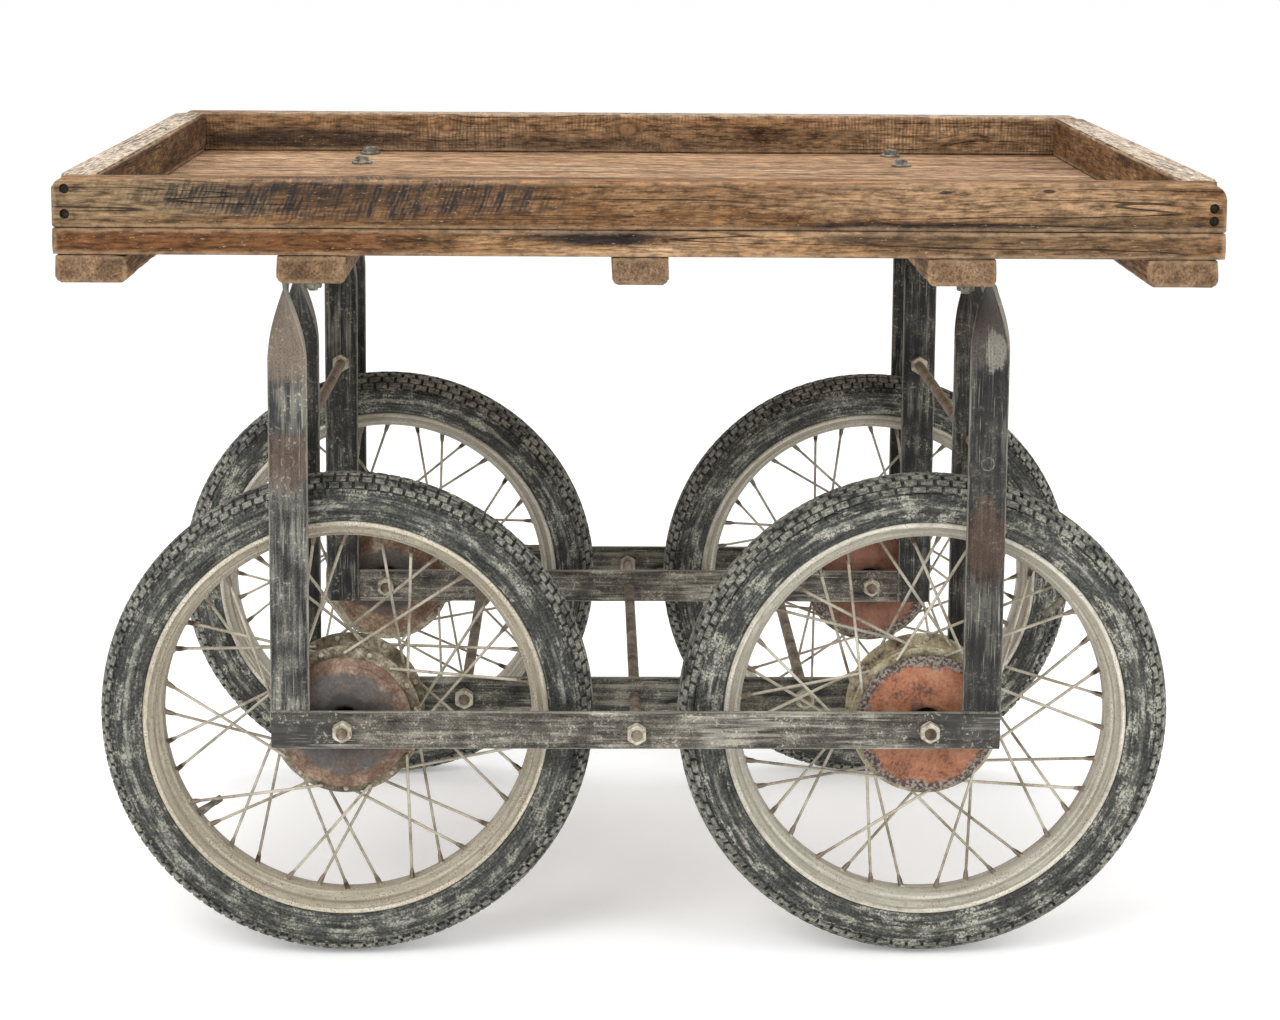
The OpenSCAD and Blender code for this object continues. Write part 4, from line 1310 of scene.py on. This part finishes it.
    def bead(self, form: Form, start: Point, end: Point, radius: float, seed: float) -> None:
        """Lays a run of weld blobs between two points."""
        start, end = Vector(start), Vector(end)
        count = max(2, round((end - start).length / (radius * 1.25)))
        for i in range(count + 1):
            place = start.lerp(end, i / count)
            grow = 0.8 + 0.35 * noise.noise(place * 400.0 + Vector((seed, 0, 0)))
            matrix = Matrix.Translation(place) @ Matrix.Diagonal((grow, 0.55, grow, 1.0))
            bmesh.ops.create_icosphere(form.bm, subdivisions=1, radius=radius, matrix=matrix)

    def build_welds(self) -> None:
        """Builds the weld beads between legs and bars, and round the upper rods' ends."""
        form = Form()
        foot = self.axle_z + self.width / 2
        half = self.width / 2 - 0.002
        for side in (-1, 1):
            x = side * self.leg_x
            for s in (-1, 1):
                for y in (s * (self.outer_y + self.thick / 2), s * (self.outer_y - self.thick / 2)):
                    self.bead(form, (x - half, y, foot), (x + half, y, foot), self.seam_bead, y * 30)
                seam = side * (self.leg_x - self.width / 2)
                for y in (s * (self.inner_y + self.thick / 2), s * (self.inner_y - self.thick / 2)):
                    low, high = (seam, y, self.axle_z - half), (seam, y, self.axle_z + half)
                    self.bead(form, low, high, self.seam_bead, y * 30)
                y = s * (self.outer_y + self.thick / 2)
                ring = [
                    (x + self.ring_weld * math.cos(a), y, self.upper_z + self.ring_weld * math.sin(a))
                    for a in (math.tau * k / 9 for k in range(10))
                ]
                for a, b in zip(ring, ring[1:]):
                    self.bead(form, a, b, self.ring_bead, a[0] * 90)
        finish = Rust(
            "steel_welds", (0.06, 0.055, 0.045), (0.16, 0.15, 0.12), (0.36, 0.34, 0.27), scale=150.0, metallic=0.3
        )
        form.finish("welds_steel", "frame", finish.material(), [], "leg_steel", 60.0)


# ---- Wheels -----------------------------------------------------------------------------------


@dataclass(frozen=True)
class TreadRow:
    """Rows of like tread blocks, at angles from the crown in degrees. Staggered rows lie half a pitch on."""

    angles: tuple[int, ...]
    staggered: tuple[int, ...]
    size: Point
    sink: float


TREADS = {
    TreadStyle.BLOCK: (94, (
        TreadRow((-54, -36, -18, 0, 18, 36, 54), (-36, 0, 36), (0.0052, 0.0084, 0.0146), 0.0001),
        TreadRow((-70, 70), (), (0.0045, 0.0072, 0.0105), 0.0001),
    )),
    TreadStyle.RIB: (118, (
        TreadRow((-12, 0, 12), (0,), (0.0042, 0.0052, 0.0122), 0.0006),
        TreadRow((-46, -30, 30, 46), (-46, 46), (0.0042, 0.0078, 0.0112), 0.0006),
        TreadRow((-62, 62), (), (0.003, 0.0075, 0.0045), 0.0005),
    )),
}

# Faces of the drum covers as radius and width in metres, from the rim in to the axle hole
DOMED_FACE: Outline = (
    (0.0625, -0.036), (0.0612, -0.0352), (0.0596, -0.0352), (0.058, -0.036), (0.0555, -0.0362), (0.0535, -0.0378),
    (0.051, -0.0392), (0.047, -0.0398), (0.034, -0.0394), (0.031, -0.0386), (0.026, -0.0384), (0.0235, -0.0392),
    (0.020, -0.0392),
)
FLAT_FACE: Outline = (
    (0.066, -0.0368), (0.0635, -0.0362), (0.062, -0.036), (0.0595, -0.0372), (0.0575, -0.0378), (0.05, -0.038),
    (0.04, -0.0379), (0.03, -0.038), (0.0225, -0.0382), (0.020, -0.0386),
)


@dataclass(frozen=True)
class WheelLook:
    """How one wheel differs from its fellows."""

    tread: TreadStyle
    cover: CoverStyle
    dustiness: float
    rim_rust: float
    rim_cream: Colour
    paint: Colour
    faded: Colour
    hub_body: Colour
    hub_pale: Colour
    grease: float = 0.028
    crust: float = 0.06
    stain: float = -0.02


@dataclass
class Wheel:
    """One spoked wheel with its tyre, built about the Y axis and then set on its axle."""

    place: str
    side: int
    row: int
    turn: float
    look: WheelLook
    axle_x: float = 0.304
    axle_y: float = 0.2685
    axle_z: float = 0.260
    section_r: float = 0.0295
    section_c: float = 0.2305
    seat: float = 0.204
    rim_r: float = 0.2125
    well: float = 0.194
    skin: float = 0.0024
    spokes: int = 36
    spoke_r: float = 0.0016
    nipple_r: float = 0.003
    nipple_len: float = 0.013
    lace: float = 40.0
    ring_r: float = 0.074
    flange_r: float = 0.079
    flange_y: float = 0.024
    flange_t: float = 0.004
    drum_r: float = 0.068
    valve_angle: float = 5.0
    tube_c: float = 0.232
    tube_r: float = 0.019
    outward_gap: float = 0.0024
    inward_gap: float = 0.0001

    def __post_init__(self) -> None:
        """Works out where the wheel stands."""
        self.centre = (self.side * self.axle_x, self.row * self.axle_y, self.axle_z)
        self.space = WheelSpace(self.centre)
        self.matrix = Matrix.Translation(self.centre) @ Matrix.Rotation(-math.radians(self.turn), 4, "Y")
        self.body = f"wheel_{self.place}"
        self.seed = self.turn * 0.1

    def build(self) -> None:
        """Builds and dresses the wheel."""
        self.build_tyre()
        self.build_tube()
        self.build_rim()
        self.build_spokes()
        self.build_hub()
        self.build_cover()
        self.build_bearings()

    def finish(self, form: Form, part: str, material: bpy.types.Material, slot: str, crease: float = 38.0) -> None:
        """Sets a form on the axle and makes it an object that stands for its solid."""
        form.place(self.matrix)
        form.finish(f"{part}_{self.place}_piece", self.body, material, [f"{part}_{self.place}"], slot, crease)

    def section(self, angle: float, reach: float) -> tuple[float, float]:
        """A point of the tyre's section: radius and width, at an angle from the crown in degrees."""
        a = math.radians(angle)
        return self.section_c + reach * math.cos(a), reach * math.sin(a)

    def tread_block(self, form: Form, angle: float, offset: float, size: Point, sink: float) -> list[BMVert]:
        """Adds one tapered tread block.

        Args:
            form: Where it goes.
            angle: Its place round the tyre's section, in degrees from the crown.
            offset: Its place round the wheel, in radians.
            size: Its height, its width across the tread and its length round the wheel.
            sink: How far its top lies under the tyre's full section.

        Returns:
            Its vertices.
        """
        high, wide, long = size
        top = self.section_r - sink
        before = set(form.bm.verts)
        verts = form.box((top - high, -wide / 2, -long / 2), (top, wide / 2, long / 2))
        for vert in verts:
            if vert.co.x > top - high / 2:
                vert.co.y *= 0.84
                vert.co.z *= 0.88
        form.bevel(form.edges_of(verts, lambda e: all(v.co.x > top - high / 2 for v in e.verts)), 0.0005, 1)
        made = [vert for vert in form.bm.verts if vert not in before]
        tilt = Matrix.Rotation(math.radians(angle), 4, "Z")
        matrix = Matrix.Rotation(-offset, 4, "Y") @ Matrix.Translation((self.section_c, 0, 0)) @ tilt
        bmesh.ops.transform(form.bm, matrix=matrix, verts=made)
        return made

    def carcass(self) -> list[tuple[float, float]]:
        """The closed outline of the tyre under its tread, with the raised lines on its walls."""
        outline = []
        lines = {74: 0.0008, 88: 0.0006, 90: 0.0006, 102: 0.0009}
        for angle in range(-114, 115, 2):
            a = abs(angle)
            under = self.section_r - 0.0032
            if a >= 60:
                under += 0.0026 * min(1.0, (a - 60) / 8)
            outline.append(self.section(angle, under + lines.get(a, 0.0) - 0.0003))
        bead = [
            (self.rim_r + 0.0006, 0.0242), (self.rim_r + 0.0004, 0.0198), (self.seat, 0.0198), (self.seat, 0.014),
        ]
        inside = [self.section(angle, self.section_r - 0.007) for angle in range(110, -111, -10)]
        return [*outline, *bead, *inside, *((r, -y) for r, y in reversed(bead))]

    def build_tyre(self) -> None:
        """Builds the tyre: its carcass, its tread and the plain raised bars on its walls."""
        form = Form()
        form.lathe(self.carcass(), steps=160)
        pitch_count, rows = TREADS[self.look.tread]
        pitch = math.tau / pitch_count
        made: list[BMVert] = []
        for row in rows:
            for angle in row.angles:
                offset = pitch / 2 if angle in row.staggered else 0.0
                made += self.tread_block(form, angle, offset, row.size, row.sink)
        form.repeat(made, pitch_count)
        self.add_wall_bars(form)
        finish = Rubber(f"rubber_{self.place}", self.space, dustiness=self.look.dustiness, seed=self.seed)
        self.finish(form, "tyre", finish.material(), "tyre_rubber", 50.0)

    def add_wall_bars(self, form: Form) -> None:
        """Adds groups of short plain bars to both walls of the tyre."""
        for wall in (-1, 1):
            for start, count in ((20, 9), (95, 12), (190, 7), (262, 11)):
                for k in range(count):
                    angle = math.radians(start + k * 3.1 + (1.2 if k % 4 == 3 else 0.0))
                    tall = 0.0075 if k % 3 else 0.005
                    radius, width = self.section(wall * 88, self.section_r - 0.0004)
                    low = (radius - tall / 2, width - 0.0006, -0.0017)
                    high = (radius + tall / 2, width + 0.0004, 0.0017)
                    before = set(form.bm.verts)
                    form.box(low, high)
                    new = [vert for vert in form.bm.verts if vert not in before]
                    bmesh.ops.rotate(form.bm, verts=new, cent=(0, 0, 0), matrix=Matrix.Rotation(-angle, 3, "Y"))

    def valve_point(self, radius: float) -> Point:
        """A point on the valve's line, at a radius."""
        a = math.radians(self.valve_angle)
        return (radius * math.cos(a), 0.0, radius * math.sin(a))

    def build_tube(self) -> None:
        """Builds the inner tube with its valve."""
        form = Form()
        turns = [math.radians(a) for a in range(0, 360, 20)]
        form.lathe([(self.tube_c + self.tube_r * math.cos(a), self.tube_r * math.sin(a)) for a in turns], steps=72)
        at = self.valve_point
        form.barrel(at(0.1915), at(0.181), 0.0046, 0.0036, sides=16, lip=0.0005)
        form.barrel(at(0.21), at(0.169), 0.0033, sides=16)
        form.barrel(at(0.1735), at(0.165), 0.0039, sides=16, lip=0.0007)
        finish = Rust(
            f"tube_{self.place}", (0.05, 0.045, 0.035), (0.17, 0.15, 0.11), (0.32, 0.29, 0.22),
            scale=140.0, metallic=0.3,
        )
        self.finish(form, "inner_tube", finish.material(), "tube_rubber")

    def rim_outline(self) -> list[tuple[float, float]]:
        """The closed outline of the rim, with rolled lips."""
        lip, half = 0.0028, 0.020
        lip_c = (self.rim_r - lip, half + lip + 0.0004)
        curl = [(lip_c[0] + lip * math.cos(math.radians(a)), lip_c[1] + lip * math.sin(math.radians(a)))
                for a in range(-80, 200, 20)]
        floor, under = self.well + self.skin, self.seat - self.skin
        side = [
            (floor, 0.004), (floor, 0.009), (self.seat - 0.001, 0.0132), (self.seat + 0.001, half - 0.001),
            (self.seat + 0.003, half), *curl, (self.seat + 0.002, half + self.skin),
            (under, half + self.skin - 0.001), (under - 0.001, half - 0.003), (under - 0.0015, 0.0155),
            (self.well + 0.0012, 0.0112), (self.well, 0.0088),
        ]
        outline = [*side, (self.well - 0.0002, 0.0)]
        return outline + [(r, -y) for r, y in reversed(side)] + [(floor, 0.0)]

    def build_rim(self) -> None:
        """Builds the rim, with a raised seat where each nipple comes through."""
        form = Form()
        form.lathe(self.rim_outline(), steps=144)
        made: list[BMVert] = []
        for k in range(2):
            end = self.rim_end(k)
            way = (Vector(self.hub_end(k)) - end).normalized()
            before = set(form.bm.verts)
            form.barrel(end - way * 0.001, end + way * 0.0042, 0.0052, 0.0038, sides=14)
            made += [vert for vert in form.bm.verts if vert not in before]
        form.repeat(made, self.spokes // 2)
        finish = RimSteel(
            f"rim_paint_{self.place}", self.space, cream=self.look.rim_cream,
            rustiness=self.look.rim_rust, seed=self.seed,
        )
        self.finish(form, "rim", finish.material(), "rim_paint")

    def flange_of(self, k: int) -> int:
        """The side of spoke k's flange: 1 for the drum side."""
        return 1 if k % 2 == 0 else -1

    def lean_of(self, k: int) -> int:
        """Whether spoke k leans forwards (1) or back (-1)."""
        return 1 if (k // 2) % 2 == 0 else -1

    def gap_of(self, k: int) -> float:
        """How far spoke k stands off its flange."""
        return self.outward_gap if self.lean_of(k) > 0 else self.inward_gap

    def hub_end(self, k: int) -> Vector:
        """The elbow of spoke k."""
        lean = self.lean_of(k)
        a = math.radians(360.0 * k / self.spokes + self.lace * lean)
        stand = (self.flange_t / 2 + self.spoke_r) + self.gap_of(k)
        y = -self.flange_of(k) * (self.flange_y + lean * stand)
        return Vector((self.ring_r * math.cos(a), y, self.ring_r * math.sin(a)))

    def rim_end(self, k: int) -> Vector:
        """Where spoke k meets the rim."""
        a = math.radians(360.0 * k / self.spokes)
        radius = self.well + self.skin + 0.0006
        return Vector((radius * math.cos(a), -self.flange_of(k) * 0.0025, radius * math.sin(a)))

    def build_spokes(self) -> None:
        """Builds four spokes with their nipples, elbows and heads, and repeats them round the wheel."""
        form = Form()
        for k in range(4):
            hub, rim = self.hub_end(k), self.rim_end(k)
            way = (hub - rim).normalized()
            form.barrel(hub, rim + way * 0.004, self.spoke_r, sides=10)
            neck, tip = rim + way * (self.nipple_len - 0.003), rim + way * (self.nipple_len + 0.001)
            form.barrel(rim + way * 0.0005, neck, self.nipple_r, 0.0026, sides=12)
            form.barrel(neck, tip, 0.0026, 0.0019, sides=12)
            bmesh.ops.create_uvsphere(
                form.bm, u_segments=10, v_segments=6, radius=self.spoke_r * 1.06, matrix=Matrix.Translation(hub)
            )
            lean = self.flange_of(k) * self.lean_of(k)
            shank = self.flange_t + self.spoke_r + self.gap_of(k) + 0.0001
            through = Vector((0, lean, 0))
            form.barrel(hub, hub + through * (shank + 0.0005), self.spoke_r, sides=10)
            head = hub + through * shank
            form.barrel(head, head + through * 0.0017, 0.0032, 0.0022, sides=12, lip=0.0004)
        form.repeat(list(form.bm.verts), self.spokes // 4)
        finish = SpokeSteel(f"spoke_steel_{self.place}", self.space, seed=self.seed)
        self.finish(form, "spokes", finish.material(), "spoke_steel", 40.0)

    def build_hub(self) -> None:
        """Builds the hub: its drum shell, two spoke flanges, plain web and bearing boss."""
        form = Form()
        r, low, high = self.drum_r, -0.032, self.flange_y + 0.002
        shell = [(r - 0.006, low), (r - 0.001, low), (r, low + 0.001)]
        for y in (-0.016, -0.008, 0.0, 0.008, 0.016):
            shell += [(r, y - 0.0022), (r - 0.0016, y - 0.0014), (r - 0.0016, y + 0.0014), (r, y + 0.0022)]
        shell += [(r, high - 0.001), (r - 0.001, high), (r - 0.006, high)]
        form.lathe(shell, steps=96)
        t = self.flange_t / 2
        for y in (-self.flange_y, self.flange_y):
            form.lathe([
                (r - 0.002, y - t - 0.001), (r + 0.002, y - t), (self.flange_r - 0.0012, y - t),
                (self.flange_r, y - t + 0.001), (self.flange_r, y + t - 0.001), (self.flange_r - 0.0012, y + t),
                (r + 0.002, y + t), (r - 0.002, y + t + 0.001),
            ], steps=96)
        web = self.flange_y - 0.004
        form.lathe([
            (0.0205, web), (r - 0.004, web), (r - 0.004, web + 0.006), (0.05, web + 0.006),
            (0.044, web + 0.0045), (0.03, web + 0.0045), (0.025, web + 0.006), (0.0205, web + 0.009),
        ], steps=72)
        form.lathe([
            (0.0162, -0.014), (0.0212, -0.014), (0.022, -0.013), (0.022, 0.038), (0.0208, 0.040), (0.0162, 0.040),
        ], steps=48)
        form.lathe([(0.0145, -0.004), (0.0165, -0.004), (0.0165, 0.030), (0.0145, 0.030)], steps=48)
        finish = Rust(
            f"hub_iron_{self.place}", (0.045, 0.03, 0.022), self.look.hub_body, self.look.hub_pale,
            scale=48.0, relief=0.0012, seed=self.seed,
        )
        self.finish(form, "hub", finish.material(), "rusty_steel", 32.0)

    def build_cover(self) -> None:
        """Builds the drum cover, domed or flat, with its spigot and its axle hole."""
        hole, back = 0.018, -0.0321
        if self.look.cover is CoverStyle.DOMED:
            outer = self.drum_r + 0.0015
            face = [(outer, back), (outer, -0.0348), (outer - 0.0012, -0.036), *DOMED_FACE]
        else:
            outer = self.drum_r + 0.0052
            face = [(outer, back), (outer, -0.0345), (outer - 0.001, -0.0362), *FLAT_FACE]
        spigot = [(0.0565, back), (0.0565, -0.0265), (0.0615, -0.0265), (0.0615, back)]
        form = Form()
        form.lathe([*face, (hole, -0.0378), (hole, back), *spigot], steps=120)
        for vert in form.bm.verts:
            radius = math.hypot(vert.co.x, vert.co.z)
            if vert.co.y < -0.0335 and radius > 0.057:
                vert.co.y += 0.0014 * (0.5 + 0.5 * noise.noise(vert.co * 160.0 + Vector((self.seed, 0, 0))))
        finish = CoverPaint(
            f"drum_paint_{self.place}", self.space, self.look.paint, self.look.faded,
            hub_grease=self.look.grease, rim_crust=self.look.crust, stain=self.look.stain, seed=self.seed,
        )
        self.finish(form, "drum_cover", finish.material(), "red_oxide", 32.0)

    def build_bearings(self) -> None:
        """Builds the two wheel bearings with their seals."""
        form = Form()
        for low, high in ((-0.014, -0.004), (0.030, 0.040)):
            half = [
                (0.00605, 0.0), (0.0088, 0.0), (0.0092, 0.001), (0.0128, 0.001),
                (0.0132, 0.0), (0.0158, 0.0), (0.016, 0.0004),
            ]
            form.lathe([*((r, low + y) for r, y in half), *((r, high - y) for r, y in reversed(half))], steps=40)
        finish = Rust(
            f"bearing_steel_{self.place}", (0.08, 0.065, 0.05), (0.25, 0.22, 0.17), (0.45, 0.42, 0.34),
            scale=130.0, metallic=0.6,
        )
        self.finish(form, "bearings", finish.material(), "bearing_steel", 30.0)


# ---- Studio -----------------------------------------------------------------------------------


@dataclass(frozen=True)
class Lamp:
    """A soft rectangular light."""

    name: str
    place: Point
    aim: Point
    size: float
    watts: float


@dataclass
class Studio:
    """The pale floor, the soft lights, the white surroundings and the camera."""

    camera_place: Point = (-0.0505, -2.787, 1.1189)
    camera_down: float = 6.832
    camera_right: float = 1.153
    camera_roll: float = 0.452
    lens: float = 69.09
    lift: float = -0.25
    sky: float = 0.87
    floor_glow: float = 0.2
    lamps: tuple[Lamp, ...] = (
        Lamp("key_light", (-1.7, -2.4, 2.9), (0.0, 0.0, 0.45), 1.8, 62.0),
        Lamp("side_light", (2.6, -1.4, 1.9), (0.0, 0.0, 0.5), 1.6, 26.0),
        Lamp("top_light", (0.0, 0.6, 3.0), (0.0, 0.0, 0.8), 2.2, 40.0),
    )

    def build(self) -> None:
        """Builds the studio."""
        self.build_floor()
        self.build_lamps()
        self.build_sky()
        self.build_camera()
        bpy.context.scene.view_settings.view_transform = "Standard"

    def build_floor(self) -> None:
        """Lays the plain floor."""
        floor = bmesh.new()
        bmesh.ops.create_grid(floor, x_segments=2, y_segments=2, size=60.0)
        mesh = bpy.data.meshes.new("studio_floor")
        floor.to_mesh(mesh)
        floor.free()
        g = Graph("pale_floor")
        shade = g.noise(g.point, 1.5, 2.0)
        mesh.materials.append(
            g.surface(g.mix(shade, (0.9, 0.9, 0.9), (0.93, 0.93, 0.93)), 0.8, specular=0.1, glow=self.floor_glow)
        )
        thing = bpy.data.objects.new("studio_floor", mesh)
        bpy.context.scene.collection.objects.link(thing)

    def build_lamps(self) -> None:
        """Hangs the soft lights."""
        for lamp in self.lamps:
            data = bpy.data.lights.new(lamp.name, "AREA")
            data.size = lamp.size
            data.energy = lamp.watts
            thing = bpy.data.objects.new(lamp.name, data)
            thing.location = lamp.place
            thing.rotation_euler = (Vector(lamp.aim) - Vector(lamp.place)).to_track_quat("-Z", "Y").to_euler()
            bpy.context.scene.collection.objects.link(thing)

    def build_sky(self) -> None:
        """Makes the surroundings white."""
        world = bpy.data.worlds.new("white_surroundings")
        world.use_nodes = True
        back = world.node_tree.nodes["Background"]
        back.inputs["Color"].default_value = (1.0, 1.0, 1.0, 1.0)
        back.inputs["Strength"].default_value = self.sky
        bpy.context.scene.world = world

    def build_camera(self) -> None:
        """Sets up the camera."""
        data = bpy.data.cameras.new("camera")
        data.lens = self.lens
        data.sensor_width = 36.0
        data.shift_y = self.lift
        thing = bpy.data.objects.new("camera", data)
        thing.location = self.camera_place
        heading = Matrix.Rotation(-math.radians(self.camera_right), 3, "Z")
        pitch = Matrix.Rotation(math.radians(90.0 - self.camera_down), 3, "X")
        thing.rotation_euler = (heading @ pitch @ Matrix.Rotation(math.radians(self.camera_roll), 3, "Z")).to_euler()
        bpy.context.scene.collection.objects.link(thing)
        bpy.context.scene.camera = thing


LOOKS = {
    "near_left": WheelLook(
        TreadStyle.RIB, CoverStyle.DOMED, dustiness=0.68, rim_rust=0.5, rim_cream=(0.54, 0.495, 0.38),
        paint=(0.15, 0.088, 0.055), faded=(0.34, 0.25, 0.18), hub_body=(0.2, 0.165, 0.11),
        hub_pale=(0.54, 0.5, 0.37), grease=0.034, crust=0.08, stain=0.056,
    ),
    "near_right": WheelLook(
        TreadStyle.BLOCK, CoverStyle.FLAT, dustiness=1.0, rim_rust=0.1, rim_cream=(0.58, 0.55, 0.46),
        paint=(0.31, 0.115, 0.055), faded=(0.42, 0.22, 0.13), hub_body=(0.36, 0.3, 0.19),
        hub_pale=(0.6, 0.55, 0.41), grease=0.022, crust=0.064,
    ),
    "far_left": WheelLook(
        TreadStyle.BLOCK, CoverStyle.DOMED, dustiness=1.0, rim_rust=0.2, rim_cream=(0.56, 0.53, 0.45),
        paint=(0.17, 0.1, 0.06), faded=(0.4, 0.32, 0.22), hub_body=(0.36, 0.31, 0.22),
        hub_pale=(0.6, 0.55, 0.42), grease=0.026, crust=0.08, stain=0.044,
    ),
    "far_right": WheelLook(
        TreadStyle.RIB, CoverStyle.FLAT, dustiness=0.85, rim_rust=0.2, rim_cream=(0.56, 0.53, 0.45),
        paint=(0.21, 0.085, 0.05), faded=(0.28, 0.14, 0.09), hub_body=(0.22, 0.17, 0.11),
        hub_pale=(0.42, 0.36, 0.26), grease=0.026, crust=0.064,
    ),
}


def main() -> None:
    """Builds the cart and its studio."""
    logging.basicConfig(level=logging.INFO, format="%(message)s")
    Tray().build()
    SteelFrame().build()
    for place, side, row, turn in (("near_left", -1, -1, 210.0), ("near_right", 1, -1, 35.0),
                                   ("far_left", -1, 1, 130.0), ("far_right", 1, 1, 300.0)):
        Wheel(place, side, row, turn, LOOKS[place]).build()
    Studio().build()


if __name__ == "__main__":
    main()
